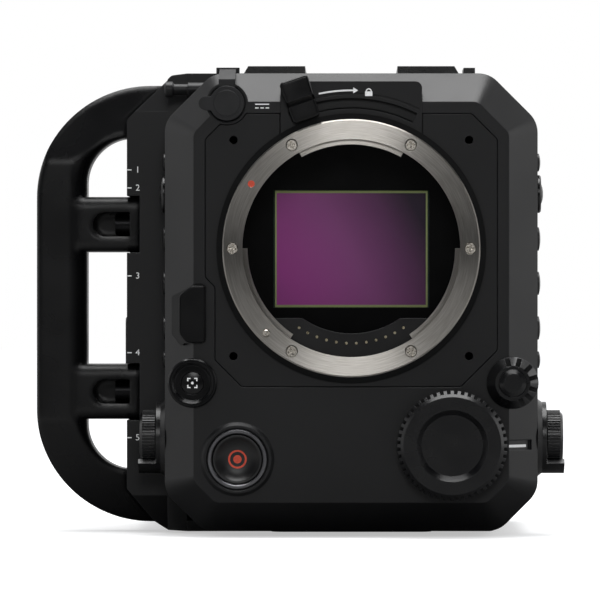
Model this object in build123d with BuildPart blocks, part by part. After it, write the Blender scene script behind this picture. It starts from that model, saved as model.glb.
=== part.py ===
from build123d import *
import os
from math import atan2, cos, degrees, hypot, pi, radians, sin, sqrt, tan

os.makedirs("parts", exist_ok=True)

# Cinema camera, box style, with a side handle.
# Millimetres. The origin is the centre of the lens flange, +Z is up,
# +Y runs to the back of the camera and -Y looks out through the lens.

# Fits and gaps
running_gap = 0.3
shaft_clearance = 0.05
button_clearance = 0.15
seam_gap = 0.3
# How far a cut runs past what it trims, near and far
trim_over = 1.0
trim_reach = 12.0
# Where a domed face is at its middle reach, and how far it has dropped there
dome_share = 0.55
dome_drop = 0.27
# Sizes nearer than this are the same edge
same_size = 0.01

# Front block, a box with cut corners and one even bevel round its face
block_half_width = 55.95
block_top = 52.6
block_bottom = -84.8
block_corner_cut = 14.5
block_foot_cut = 11.7
block_corner_round = 8.0
face_inset = 8.9
face_corner_round = 3.5
face_depth = 1.5
bevel_depth = 10.0
block_back = 36.0
block_wall = 3.0
face_wall = 5.0

# Lens mount
throat_radius = 32.5
mount_ring_width = 6.0
mount_radius = throat_radius + mount_ring_width
mount_thickness = 4.0
mount_edge_bevel = 0.4
throat_length = 1.4
throat_relief_step = 0.9
throat_relief = throat_radius + throat_relief_step
tab_reach = 1.5
tab_radius = throat_radius - tab_reach
tab_depth = 1.7
tab_thickness = 1.8
tab_arcs = [(61.5, 57.0), (180.0, 56.0), (304.0, 56.0)]
trim_width = 1.7
trim_radius = mount_radius + trim_width
trim_depth = 0.7
mount_screw_margin = 3.0
mount_screw_circle = mount_radius - mount_screw_margin
mount_screw_count = 6
mount_screw_head_radius = 1.85
mount_screw_head_height = 1.2
mount_screw_shank_radius = 0.9
mount_screw_length = 6.5
index_dot_radius = 1.05
index_dot_margin = 3.05
index_dot_circle = mount_radius - index_dot_margin
index_dot_angle = 147.3
index_dot_depth = 0.5
lock_pin_radius = 1.1
lock_pin_margin = 2.6
lock_pin_circle = mount_radius - lock_pin_margin
lock_pin_angle = 225.0
lock_pin_length = 6.0
lock_pin_proud = 1.0

# Mount chassis, baffle and image sensor
chassis_margin = 1.8
chassis_radius = trim_radius + chassis_margin
chassis_bore_step = 1.5
chassis_bore = throat_radius + chassis_bore_step
sensor_depth = 26.7
sensor_width = 43.8
sensor_height = 32.9
window_width = 46.1
window_height = 34.7
window_edge = 0.5
baffle_thickness = 1.6
glass_thickness = 0.8
chip_thickness = 1.0
chip_frame = 1.2
sensor_board_width = 66.0
sensor_board_height = 54.0
sensor_board_thickness = 1.6

# Lens contacts
contact_width = 7.0
contact_inner_radius = throat_radius - contact_width
contact_shoulder_rise = 4.6
contact_shoulder = contact_shoulder_rise - contact_inner_radius
contact_depth = 4.4
contact_thickness = 4.0
contact_count = 12
contact_pin_radius = 0.4
contact_pin_margin = 2.9
contact_pin_circle = contact_inner_radius + contact_pin_margin
contact_pin_pitch = 6.05
contact_pin_proud = 0.5

# Panel round the mount and its accessory threads
panel_side_margin = 3.5
panel_top_margin = 0.1
panel_bottom_margin = 1.3
panel_half_width = trim_radius + panel_side_margin
panel_top = trim_radius + panel_top_margin
panel_bottom = -(trim_radius + panel_bottom_margin)
panel_top_cut = 7.7
panel_bottom_cut = 11.0
panel_jog = 2.9
panel_jog_top = -8.7
panel_corner_round = 1.5
panel_thickness = 2.0
thread_radius = 1.25
thread_side_margin = 8.55
thread_top_margin = 8.0
thread_bottom_margin = 9.3
thread_half_span = panel_half_width - thread_side_margin
thread_top = panel_top - thread_top_margin
thread_bottom = panel_bottom + thread_bottom_margin
thread_depth = 5.0

# Lens locking lever and its track plate
lever_inner_radius = trim_radius + running_gap
lever_track_margin = 1.1
lever_track_width = 3.2
lever_track_inner = lever_inner_radius + lever_track_margin
lever_track_outer = lever_track_inner + lever_track_width
lever_line_margin = 1.0
lever_line_radius = lever_track_outer + lever_line_margin
lever_line_width = 0.6
lever_plate_half_width = 21.1
lever_plate_margin = 4.0
lever_plate_top = lever_line_radius + lever_plate_margin
lever_plate_round = 2.0
lever_line_depth = 0.4
lever_angle = 109.0
lever_travel = 39.0
lever_step_margin = 0.7
lever_pad_length = 7.9
lever_step_radius = lever_track_outer + lever_step_margin
lever_outer_radius = lever_step_radius + lever_pad_length
lever_width = 9.0
lever_base_height = 2.2
lever_pad_height = 4.4
lever_foot_half_angle = 3.0
lever_taper = 0.93
lever_pad_slope = 1.6
lever_round = 1.2
lever_edge = 0.9

# Record button
record_side_margin = 21.95
record_foot_margin = 21.8
record_x = record_side_margin - block_half_width
record_z = block_bottom + record_foot_margin
record_guard_radius = 11.1
record_guard_bevel = 1.0
record_guard_bore = 9.4
record_guard_height = 1.0
record_bezel_radius = 9.0
record_bezel_bore = 7.65
record_bezel_height = 1.0
record_cap_radius = 7.5
record_cap_height = 0.7
record_cap_length = 6.0
record_dish = 0.8
record_dish_share = 0.9
record_bezel_edge = 0.3

# Assign button in its dished collar
assign_side_margin = 8.55
assign_x = assign_side_margin - block_half_width
assign_z = -40.2
assign_collar_radius = 7.4
assign_collar_height = 1.5
assign_collar_edge = 0.5
assign_dish_radius = 6.2
assign_dish_bottom = 5.2
assign_dish_depth = 1.0
assign_cap_radius = 3.3
assign_cap_height = 0.9
assign_cap_length = 6.5
assign_cap_dome = 0.3

# Selector ring with its centre button
selector_side_margin = 7.85
selector_x = block_half_width - selector_side_margin
selector_z = -40.2
selector_boss_radius = 7.4
selector_radius = 7.75
selector_top_radius = 5.2
selector_height = 4.2
selector_bore = 4.2
selector_notch_angles = [103, 74, 43, 14, -17, -41, -65]
selector_rim_height = 0.8
selector_notch_width = 1.4
selector_notch_inner = 5.0
selector_notch_floor = 1.0
selector_knob_flat = 2.8
selector_knob_height = 5.2
selector_knob_bevel = 0.9
selector_knob_seat = 1.0
selector_stem_radius = 2.0
stem_overhang = 2.0

# Large front dial
dial_side_margin = 25.95
dial_foot_margin = 26.0
dial_x = block_half_width - dial_side_margin
dial_z = block_bottom + dial_foot_margin
dial_tip_radius = 16.4
dial_root_radius = 15.4
dial_teeth = 48
tooth_overlap = 0.2
dial_height = 8.0
dial_face_radius = 14.5
dial_bevel_depth = 1.9
dial_recess_radius = 10.7
dial_floor_radius = 9.1
dial_recess_depth = 1.7
dial_shaft_radius = 4.0
index_recess_width = 3.0
index_recess_depth = 0.8
index_recess_length = 7.0

# Side control columns, alike on both sides
side_depth = 23.0
side_shaft_overhang = 1.0
side_shaft_end = block_half_width - block_wall - side_shaft_overhang
side_button_heights = [26.1, 3.0, -10.4, -23.9, -33.5]
side_button_radii = [2.7, 3.55, 3.5, 3.5, 2.55]
side_button_height = 1.2
side_button_dome = 0.5
side_button_length = 6.0
jog_z = 16.6
jog_radius = 5.75
jog_height = 1.3
jog_edge = 0.4
jog_dome_radius = 3.85
jog_dome_height = 2.0
jog_dome_drop = 0.3
jog_dome_share = 0.6
jog_shaft_radius = 2.0
wheel_z = -57.0
wheel_radius = 8.3
wheel_stand = 2.85
wheel_width = 5.0
wheel_inner_x = block_half_width + wheel_stand
wheel_outer_x = wheel_inner_x + wheel_width
wheel_teeth = 54
wheel_tooth_depth = 0.45
wheel_edge_bevel = 0.8
wheel_shaft_radius = 2.5
collar_radius = 10.8
collar_foot = 1.2
collar_foot_height = 1.5
cradle_radius = 8.9
cradle_start = 225.0
cradle_sweep = 90.0
cradle_proud = 0.4
cradle_outer_x = wheel_outer_x + cradle_proud

# Direct current outlet, its cap and strap
outlet_side_margin = 18.85
outlet_top_margin = 9.4
outlet_x = outlet_side_margin - block_half_width
outlet_z = block_top - outlet_top_margin
outlet_boss_radius = 6.3
outlet_recess_radius = 5.55
outlet_recess_depth = 1.2
outlet_bore = 4.2
outlet_socket_length = 8.5
outlet_socket_wall = 1.2
port_socket_depth = 5.0
port_slot_length = 6.0
port_slot_width = 2.4
port_slot_depth = 3.0
port_socket_lift = 2.0
cap_radius = 5.15
cap_step_radius = 3.85
cap_thickness = 2.2
cap_step_height = 0.5
cap_tab_length = 8.4
cap_tab_width = 4.2
strap_width = 4.9
strap_thickness = 0.9
strap_anchor_depth = 13.2
anchor_width = 7.0
anchor_height = 1.8
anchor_corner = 0.8
anchor_depth = 3.4

# Oblong port cover on the left bevel
cover_side_margin = 2.15
cover_width = 10.5
cover_left = cover_side_margin - block_half_width
cover_right = cover_left + cover_width
cover_top = -10.3
cover_bottom = -28.4
cover_slant_start = 2.6
cover_slant_height = 4.0
cover_corner = 2.6
cover_hinge_corner = 1.2
cover_round = 1.0
cover_thickness = 0.8
cover_pad_margin = 2.3
cover_pad_hinge_margin = 0.9
cover_pad_top_margin = 1.0
cover_pad_bottom_margin = 0.5
cover_pad_rise = 0.7
cover_tab_length = 6.4
cover_tab_width = 3.4
cover_tab_lean = -42.0
cover_tab_right = 3.0
cover_tab_up = 2.1
cover_pocket_hinge_margin = 1.7
cover_pocket_side_margin = 3.3
cover_pocket_right = cover_right - cover_pocket_hinge_margin
cover_pocket_left = cover_left + cover_pocket_side_margin
cover_pocket_margin = 4.2

# Measuring hook at the sensor plane
hook_top_margin = 4.3
hook_z = block_top - hook_top_margin
hook_facet_x = block_half_width + block_top - block_corner_cut - hook_z
hook_knob_reach = 10.85
hook_knob_x = hook_facet_x + hook_knob_reach
hook_knob_length = 2.4
hook_edge = 0.5
hook_knob_radius = 2.4
hook_shaft_radius = 1.67
hook_collar_reach = 3.75
hook_collar_x = hook_facet_x + hook_collar_reach
hook_collar_radius = 2.1
hook_root_depth = 1.45
hook_root_x = hook_facet_x - hook_root_depth

# Rear body and side connector block
rear_side_step = 0.55
rear_top_step = 1.0
rear_foot_step = 1.1
rear_right = block_half_width - rear_side_step
rear_top = block_top + rear_top_step
rear_bottom = block_bottom - rear_foot_step
rear_back = 126.0
rear_wall = 3.2
rear_seam_margin = 5.95
rear_seam_x = rear_seam_margin - block_half_width
io_overhang = 12.45
io_side_wall = 7.2
io_round = 2.0
io_shoulder_width = 3.4
io_shoulder_drop = 0.6
io_heel_width = 4.0
io_heel_rise = 0.4
io_left = -block_half_width - io_overhang
io_cut_width = 10.2
io_cut_drop = 14.1
io_cut_start = 4.1
io_cut_low = rear_top - io_cut_drop
io_cut_high = rear_top - io_cut_start
io_cut_inner_x = io_left + io_cut_width
io_foot_width = 8.2
io_foot_rise = 12.9
io_foot_start = 3.0
io_foot_high = rear_bottom + io_foot_rise
io_foot_low = rear_bottom + io_foot_start
io_foot_inner_x = io_left + io_foot_width
io_bevel_start_top = 42.0
io_bevel_start_bottom = -75.0
io_bevel_back = 4.0
port_depth = 84.0
jack_heights = [24.2, 8.0, -8.1]
jack_radius = 4.0
jack_bore = 1.8
ethernet_z = -31.5
ethernet_width = 16.5
ethernet_height = 14.0
usb_z = -57.4
usb_width = 9.4
usb_height = 3.6
socket_length = 14.0
socket_floor = 2.0
usb_shell = 2.0
ethernet_plug_width = 12.5
ethernet_plug_height = 9.0
io_cover_margin = 4.0
io_cover_thickness = 1.6
io_cover_corner = 3.0
io_cover_edge = 0.5

# Side handle
handle_reach = 27.6
handle_hand_width = 15.1
handle_outer_x = io_left - handle_reach
handle_inner_x = handle_outer_x + handle_hand_width
handle_top_step = 3.4
handle_foot_step = 2.6
handle_top = rear_top - handle_top_step
handle_bottom = rear_bottom + handle_foot_step
handle_beam = 16.0
handle_outer_round = 34.5
handle_inner_round = 14.0
handle_front = 38.0
handle_depth = 22.0
handle_slope_top = 27.0
handle_slope_bottom = -52.0
handle_slope_back = 8.0
handle_grip_round = 5.6
handle_edge_round = 1.2
arm_height = 16.8
arm_heights = [7.65, -43.4]
arm_round = 3.0
arm_end_depth = 3.9
arm_end_x = io_left + arm_end_depth
arm_slot_length = 11.2
arm_slot_margin = 0.8
arm_slot_right = io_left + arm_slot_margin
arm_slot_left = arm_slot_right - arm_slot_length
arm_slot_height = 7.5
arm_slot_depth = 9.0
arm_root = 3.0
arm_tap_depth = 10.0
handle_screw_radius = 3.2
handle_screw_head = 4.5
handle_screw_shank = 2.0
handle_screw_grip = 4.0

# Top pads and base plate
pad_inner_x = 14.1
pad_outer_x = 32.9
pad_height = 2.4
pad_front = 40.0
pad_length = 74.0
pad_end_slant = 1.4
stop_margin = 4.85
stop_x = rear_right - block_corner_cut - stop_margin
stop_width = 3.5
stop_height = 1.9
stop_length = 20.0
top_thread_radius = 3.175
top_thread_pitch = 25.0
base_half_width = 24.5
base_front = 40.0
base_length = 78.0
base_thickness = 2.0
base_proud = 0.4
base_corner = 4.0
tripod_small_radius = 3.175
tripod_large_radius = 4.7625
thread_boss_wall = 4.0
thread_boss_height = 8.0
tripod_small_y = 62.0
tripod_large_y = 88.0

# Battery plate and latch at the back
plate_half_width = 42.0
plate_top = 44.0
plate_bottom = -66.0
plate_corner = 5.0
plate_thickness = 5.0
rail_inner_x = 24.0
rail_outer_x = 33.0
rail_lip = 3.0
rail_height = 9.0
rail_top = 30.0
rail_bottom = -48.0
latch_x = 37.6
latch_z = 8.0
latch_width = 7.0
latch_height = 12.0
latch_corner = 1.2
latch_proud = 2.6
latch_travel = 3.0

# Inside the rear body
board_gap = 5.0
board_thickness = 1.6
board_half_width = 36.0
board_top = 40.0
board_bottom = -70.0
board_post_radius = 2.5
board_post_inset = 5.0
processor_size = 22.0
processor_pitch = 39.6
processor_height = 2.4
sink_base = 4.0
sink_fins = 12
sink_fin_length = 9.0
sink_fin_thickness = 1.4
sink_half_width = 36.0
sink_top = 24.0
sink_bottom = -40.0
fan_y = 100.0
fan_z = -6.0
fan_half_size = 20.0
fan_corner = 2.0
fan_spokes = 3
fan_spoke_width = 2.4
fan_thickness = 10.0
fan_bore = 18.5
fan_hub_radius = 7.0
fan_blades = 7
fan_blade_lean = 12
fan_blade_root = 1.0
fan_blade_thickness = 1.0
fan_tip_gap = 0.8
fan_pin_radius = 1.2
vent_count = 7
vent_width = 2.4
vent_length = 30.0
vent_pitch = 5.2

# Status display and card door on the right side
display_front = 46.0
display_length = 38.0
display_bottom = -6.0
display_top = 35.0
display_inset = 0.4
display_thickness = 1.8
door_front = 46.0
door_length = 34.0
door_bottom = -62.0
door_top = -22.0
door_thickness = 2.4
door_corner = 3.0
door_grip_margin = 4.0
door_grip_length = 12.0
door_grip_width = 3.6
slot_width = 4.0
slot_height = 26.0
slot_pitch = 9.0

face_half_width = block_half_width - face_inset
face_top = block_top - face_inset
bevel_back = face_depth + bevel_depth
cavity_front = face_depth + face_wall
corner_offset = 2 - sqrt(2)
mount_back = mount_thickness
io_back = rear_back
lever_pocket_depth = mount_back - face_depth
lever_track_depth = lever_pocket_depth


# A plane that faces forward at a depth behind the flange
def facing(depth):
    return Plane.XZ.offset(-depth)


# A plane through an axis that runs front to back, for turned profiles
def turning(x, z):
    return Plane((x, 0, z))


def lens_way(x, z):
    return Axis((x, 0, z), (0, 1, 0))


# The same for an axis that runs out of one side of the body
def side_turning(side, y, z):
    return Plane(origin=(0, y, z), x_dir=(0, 1, 0), z_dir=(0, 0, -side))


def side_way(y, z):
    return Axis((0, y, z), (1, 0, 0))


def around(radius, angle):
    return (radius * cos(radians(angle)), radius * sin(radians(angle)))


# The front block's outline at a depth, an octagon with rounded corners
def block_outline(depth, shrink, rounding):
    half_width = block_half_width - shrink
    top = block_top - shrink
    bottom = block_bottom + shrink
    cut = block_corner_cut - shrink * corner_offset
    foot_cut = block_foot_cut - shrink * corner_offset
    with BuildSketch(facing(depth)) as outline:
        with BuildLine():
            FilletPolyline(
                (-half_width + cut, top),
                (half_width - cut, top),
                (half_width, top - cut),
                (half_width, bottom + foot_cut),
                (half_width - foot_cut, bottom),
                (-half_width + foot_cut, bottom),
                (-half_width, bottom + foot_cut),
                (-half_width, top - cut),
                radius=rounding,
                close=True,
            )
        make_face()
    return outline.sketch


# A band between two radii over an arc, seen from the front
def arc_band(depth, inner, outer, start, sweep_angle):
    with BuildSketch(facing(depth)) as band:
        with BuildLine():
            CenterArc((0, 0), outer, start, sweep_angle)
            CenterArc((0, 0), inner, start, sweep_angle)
            Line(around(inner, start), around(outer, start))
            Line(around(inner, start + sweep_angle), around(outer, start + sweep_angle))
        make_face()
    return band.sketch


def disc(depth, x, z, radius):
    with BuildSketch(facing(depth)) as circle:
        with Locations((x, z)):
            Circle(radius)
    return circle.sketch


# Outer form of the front block, used again where a piece seats on its bevel
with BuildPart() as block_form:
    loft(
        [
            block_outline(face_depth, face_inset, face_corner_round),
            block_outline(bevel_back, 0, block_corner_round),
        ],
        ruled=True,
    )
    extrude(block_outline(bevel_back, 0, block_corner_round), amount=-(block_back - bevel_back))

# Seen from the front, the track plate rises over the bevel above the mount
with BuildSketch(facing(face_depth)) as lever_plate_outline:
    with BuildLine():
        FilletPolyline(
            (-lever_plate_half_width, 0),
            (-lever_plate_half_width, lever_plate_top),
            (lever_plate_half_width, lever_plate_top),
            (lever_plate_half_width, 0),
            radius=lever_plate_round,
        )
        Line((-lever_plate_half_width, 0), (lever_plate_half_width, 0))
    make_face()
    Circle(trim_radius, mode=Mode.SUBTRACT)

# The mount panel, an eight-sided plate that steps in beside the port cover
with BuildSketch(facing(face_depth)) as panel_outline:
    with BuildLine():
        FilletPolyline(
            (-panel_half_width + panel_top_cut, panel_top),
            (panel_half_width - panel_top_cut, panel_top),
            (panel_half_width, panel_top - panel_top_cut),
            (panel_half_width, panel_bottom + panel_bottom_cut),
            (panel_half_width - panel_bottom_cut, panel_bottom),
            (-panel_half_width + panel_bottom_cut, panel_bottom),
            (-panel_half_width + panel_jog, panel_bottom + panel_bottom_cut - panel_jog),
            (-panel_half_width + panel_jog, panel_jog_top - panel_jog),
            (-panel_half_width, panel_jog_top),
            (-panel_half_width, panel_top - panel_top_cut),
            radius=panel_corner_round,
            close=True,
        )
    make_face()
    with Locations((outlet_x, outlet_z)):
        Circle(outlet_boss_radius, mode=Mode.SUBTRACT)

thread_places = [
    (side * thread_half_span, height)
    for side in (-1, 1)
    for height in (thread_top, thread_bottom)
]

with BuildPart() as front_housing:
    add(block_form.part)
    for x, z, radius in (
        (outlet_x, outlet_z, outlet_boss_radius),
        (assign_x, assign_z, assign_collar_radius),
        (selector_x, selector_z, selector_boss_radius),
    ):
        extrude(disc(face_depth, x, z, radius), amount=-bevel_depth)
    # Raised ring that guards the record button
    guard_front = face_depth - record_guard_height
    with BuildSketch(turning(record_x, record_z)):
        with BuildLine():
            Polyline(
                (0, guard_front),
                (record_guard_radius - record_guard_bevel, guard_front),
                (record_guard_radius, face_depth),
                (record_guard_radius, cavity_front),
                (0, cavity_front),
                close=True,
            )
        make_face()
    revolve(axis=lens_way(record_x, record_z))
    # Hollow inside, parallel to the outer walls and bevel
    loft(
        [
            block_outline(cavity_front, face_inset + block_wall / 2, face_corner_round),
            block_outline(bevel_back + block_wall, block_wall, block_corner_round),
        ],
        ruled=True,
        mode=Mode.SUBTRACT,
    )
    extrude(
        block_outline(bevel_back + block_wall, block_wall, block_corner_round),
        amount=-(block_back - bevel_back),
        mode=Mode.SUBTRACT,
    )
    # Seats of the trim ring, the chassis, the panel and the track plate
    extrude(disc(face_depth, 0, 0, trim_radius), amount=-face_wall, mode=Mode.SUBTRACT)
    extrude(disc(mount_back, 0, 0, chassis_radius), amount=-face_wall, mode=Mode.SUBTRACT)
    extrude(panel_outline.sketch, amount=-panel_thickness, mode=Mode.SUBTRACT)
    extrude(lever_plate_outline.sketch, amount=-lever_pocket_depth, mode=Mode.SUBTRACT)
    # Holes for the controls on the face
    extrude(
        disc(guard_front, record_x, record_z, record_guard_bore),
        amount=-record_guard_height,
        mode=Mode.SUBTRACT,
    )
    for x, z, radius in (
        (record_x, record_z, record_bezel_radius),
        (assign_x, assign_z, assign_cap_radius + button_clearance),
        (selector_x, selector_z, selector_stem_radius + shaft_clearance),
        (dial_x, dial_z, dial_shaft_radius + shaft_clearance),
        (outlet_x, outlet_z, outlet_bore),
    ):
        extrude(disc(face_depth, x, z, radius), amount=-2 * face_wall, mode=Mode.SUBTRACT)
    extrude(
        disc(face_depth, outlet_x, outlet_z, outlet_recess_radius),
        amount=-outlet_recess_depth,
        mode=Mode.SUBTRACT,
    )
    with BuildSketch(facing(face_depth)):
        with Locations(*thread_places):
            Circle(thread_radius)
    extrude(amount=-thread_depth, mode=Mode.SUBTRACT)
    # Well under the port cover
    with BuildSketch(facing(0)):
        with Locations(
            (
                (cover_pocket_left + cover_pocket_right) / 2,
                (cover_top + cover_bottom) / 2,
            )
        ):
            SlotOverall(
                cover_top - cover_bottom - 2 * cover_pocket_margin,
                cover_pocket_right - cover_pocket_left,
                rotation=90,
            )
    extrude(amount=-(bevel_depth * 2), mode=Mode.SUBTRACT)
    # Holes for the controls on both sides
    for side in (-1, 1):
        for height, radius in zip(side_button_heights, side_button_radii):
            with BuildSketch(Plane.YZ.offset(side * block_half_width)):
                with Locations((side_depth, height)):
                    Circle(radius + button_clearance)
            extrude(amount=-side * 2 * block_wall, mode=Mode.SUBTRACT)
        for height, radius in ((jog_z, jog_shaft_radius), (wheel_z, wheel_shaft_radius)):
            with BuildSketch(Plane.YZ.offset(side * block_half_width)):
                with Locations((side_depth, height)):
                    Circle(radius + shaft_clearance)
            extrude(amount=-side * 2 * block_wall, mode=Mode.SUBTRACT)
    # Tapped hole of the measuring hook, in the top left corner facet
    with BuildSketch(Plane.YZ.offset(-hook_collar_x)):
        with Locations((sensor_depth, hook_z)):
            Circle(hook_collar_radius)
    extrude(amount=hook_collar_x - hook_root_x, mode=Mode.SUBTRACT)
    # Recess of the dial's index line, square to the right bevel
    bevel_angle = degrees(atan2(bevel_depth, face_inset))
    bevel_plane = Plane(
        origin=(face_half_width, face_depth, 0),
        x_dir=(face_inset, bevel_depth, 0),
        z_dir=(bevel_depth, -face_inset, 0),
    )
    with BuildSketch(bevel_plane):
        reach = index_recess_length / cos(radians(bevel_angle))
        with Locations((reach / 2, dial_z)):
            Rectangle(reach, index_recess_width)
    extrude(amount=-index_recess_depth, mode=Mode.SUBTRACT)
front_housing.part.label = "front_housing"
export_step(front_housing.part, "parts/front_housing.step")

with BuildPart() as mount_panel:
    with BuildSketch(facing(face_depth)):
        add(offset(panel_outline.sketch, amount=-seam_gap, mode=Mode.PRIVATE))
        Circle(trim_radius, mode=Mode.SUBTRACT)
        with Locations((0, lever_plate_top / 2)):
            Rectangle(2 * (lever_plate_half_width + seam_gap), lever_plate_top, mode=Mode.SUBTRACT)
        with Locations(*thread_places):
            Circle(thread_radius, mode=Mode.SUBTRACT)
    extrude(amount=-panel_thickness)
mount_panel.part.label = "mount_panel"
export_step(mount_panel.part, "parts/mount_panel.step")

with BuildPart() as lever_plate:
    extrude(lever_plate_outline.sketch, amount=-bevel_depth)
    with BuildSketch(facing(face_depth + lever_pocket_depth)):
        with Locations((0, face_top / 2)):
            Rectangle(2 * block_half_width, face_top)
    extrude(amount=-bevel_depth, mode=Mode.SUBTRACT)
    with BuildPart(mode=Mode.PRIVATE) as bevel_seat:
        add(block_form.part)
        extrude(lever_plate_outline.sketch, amount=-lever_pocket_depth, mode=Mode.SUBTRACT)
    add(bevel_seat.part, mode=Mode.SUBTRACT)
    # Blind curved track for the lever's foot
    extrude(
        arc_band(
            face_depth,
            lever_track_inner,
            lever_track_outer,
            lever_angle - lever_travel - 2 * lever_foot_half_angle,
            lever_travel + 4 * lever_foot_half_angle,
        ),
        amount=-lever_track_depth,
        mode=Mode.SUBTRACT,
    )
    # Fine curved line above the track
    extrude(
        arc_band(
            face_depth,
            lever_line_radius,
            lever_line_radius + lever_line_width,
            lever_angle - lever_travel - 2 * lever_foot_half_angle,
            lever_travel + 2 * lever_foot_half_angle,
        ),
        amount=-lever_line_depth,
        mode=Mode.SUBTRACT,
    )
lever_plate.part.label = "lever_plate"
export_step(lever_plate.part, "parts/lever_plate.step")

screw_angles = [360 / mount_screw_count * step for step in range(mount_screw_count)]
screw_places = [around(mount_screw_circle, angle) for angle in screw_angles]
lock_pin_place = around(lock_pin_circle, lock_pin_angle)

with BuildPart() as mount_ring:
    with BuildSketch(turning(0, 0)):
        with BuildLine():
            Polyline(
                (throat_radius, 0),
                (mount_radius - mount_edge_bevel, 0),
                (mount_radius, mount_edge_bevel),
                (mount_radius, mount_thickness),
                (throat_relief, mount_thickness),
                (throat_relief, throat_length),
                (throat_radius, throat_length),
                close=True,
            )
        make_face()
    revolve(axis=Axis.Y)
    for start, sweep_angle in tab_arcs:
        extrude(
            arc_band(tab_depth, tab_radius, throat_relief + mount_edge_bevel, start, sweep_angle),
            amount=-tab_thickness,
        )
    with BuildSketch(facing(0)):
        with Locations(*screw_places):
            Circle(mount_screw_head_radius)
    extrude(amount=-mount_screw_head_height, mode=Mode.SUBTRACT)
    with BuildSketch(facing(0)):
        with Locations(*screw_places):
            Circle(mount_screw_shank_radius)
        with Locations(lock_pin_place):
            Circle(lock_pin_radius + shaft_clearance)
    extrude(amount=-mount_thickness, mode=Mode.SUBTRACT)
    with BuildSketch(facing(0)):
        with Locations(around(index_dot_circle, index_dot_angle)):
            Circle(index_dot_radius)
    extrude(amount=-index_dot_depth, mode=Mode.SUBTRACT)
mount_ring.part.label = "mount_ring"
export_step(mount_ring.part, "parts/mount_ring.step")

with BuildPart() as index_dot:
    with BuildSketch(facing(0)):
        with Locations(around(index_dot_circle, index_dot_angle)):
            Circle(index_dot_radius)
    extrude(amount=-index_dot_depth)
index_dot.part.label = "index_dot"
export_step(index_dot.part, "parts/index_dot.step")

with BuildPart() as mount_screws:
    with BuildSketch(facing(0)):
        with Locations(*screw_places):
            Circle(mount_screw_head_radius)
    extrude(amount=-mount_screw_head_height)
    with BuildSketch(facing(mount_screw_head_height)):
        with Locations(*screw_places):
            Circle(mount_screw_shank_radius)
    extrude(amount=-mount_screw_length)
mount_screws.part.label = "mount_screws"
export_step(mount_screws.part, "parts/mount_screws.step")

with BuildPart() as trim_ring:
    with BuildSketch(turning(0, 0)):
        with BuildLine():
            Polyline(
                (mount_radius, mount_edge_bevel),
                (trim_radius, trim_depth),
                (trim_radius, mount_thickness),
                (mount_radius, mount_thickness),
                close=True,
            )
        make_face()
    revolve(axis=Axis.Y)
trim_ring.part.label = "trim_ring"
export_step(trim_ring.part, "parts/trim_ring.step")

glass_front = sensor_depth - running_gap - glass_thickness
baffle_front = glass_front - running_gap - baffle_thickness
chip_back = sensor_depth + chip_thickness
chassis_back = chip_back

with BuildPart() as mount_chassis:
    with BuildSketch(facing(mount_back)):
        Circle(chassis_radius)
        Circle(chassis_bore, mode=Mode.SUBTRACT)
    extrude(amount=-(chassis_back - mount_back))
    with BuildSketch(facing(mount_back)):
        with Locations(*screw_places):
            Circle(mount_screw_shank_radius)
        with Locations(lock_pin_place):
            Circle(lock_pin_radius + shaft_clearance)
    extrude(amount=-(mount_screw_length + lock_pin_length), mode=Mode.SUBTRACT)
mount_chassis.part.label = "mount_chassis"
export_step(mount_chassis.part, "parts/mount_chassis.step")

with BuildPart() as lens_lock_pin:
    with BuildSketch(facing(-lock_pin_proud)):
        with Locations(lock_pin_place):
            Circle(lock_pin_radius)
    extrude(amount=-(lock_pin_length + lock_pin_proud))
    chamfer(lens_lock_pin.edges().group_by(Axis.Y)[0], length=lock_pin_radius / 4)
lens_lock_pin.part.label = "lens_lock_pin"
export_step(lens_lock_pin.part, "parts/lens_lock_pin.step")

with BuildPart() as baffle_frame:
    with BuildSketch(facing(baffle_front)):
        Circle(chassis_bore)
        Rectangle(
            window_width + 2 * window_edge, window_height + 2 * window_edge, mode=Mode.SUBTRACT
        )
    extrude(amount=-baffle_thickness)
baffle_frame.part.label = "baffle_frame"
export_step(baffle_frame.part, "parts/baffle_frame.step")

with BuildPart() as sensor_glass:
    with BuildSketch(facing(glass_front)):
        Rectangle(window_width + 4 * window_edge, window_height + 4 * window_edge)
    extrude(amount=-glass_thickness)
sensor_glass.part.label = "sensor_glass"
export_step(sensor_glass.part, "parts/sensor_glass.step")

with BuildPart() as sensor_chip:
    with BuildSketch(facing(sensor_depth)):
        Rectangle(sensor_width + 2 * chip_frame, sensor_height + 2 * chip_frame)
    extrude(amount=-chip_thickness)
sensor_chip.part.label = "sensor_chip"
export_step(sensor_chip.part, "parts/sensor_chip.step")

with BuildPart() as sensor_board:
    with BuildSketch(facing(chip_back)):
        Circle(chassis_radius)
        Rectangle(sensor_board_width, sensor_board_height, mode=Mode.INTERSECT)
    extrude(amount=-sensor_board_thickness)
sensor_board.part.label = "sensor_board"
export_step(sensor_board.part, "parts/sensor_board.step")

pin_angles = [
    270 + contact_pin_pitch * (step - (contact_count - 1) / 2) for step in range(contact_count)
]
pin_places = [around(contact_pin_circle, angle) for angle in pin_angles]

with BuildPart() as contact_block:
    with BuildSketch(facing(contact_depth)):
        Circle(chassis_bore)
        Circle(contact_inner_radius, mode=Mode.SUBTRACT)
        with Locations((0, contact_shoulder + chassis_bore)):
            Rectangle(2 * chassis_bore, 2 * chassis_bore, mode=Mode.SUBTRACT)
        with Locations(*pin_places):
            Circle(contact_pin_radius, mode=Mode.SUBTRACT)
    extrude(amount=-contact_thickness)
contact_block.part.label = "contact_block"
export_step(contact_block.part, "parts/contact_block.step")

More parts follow.
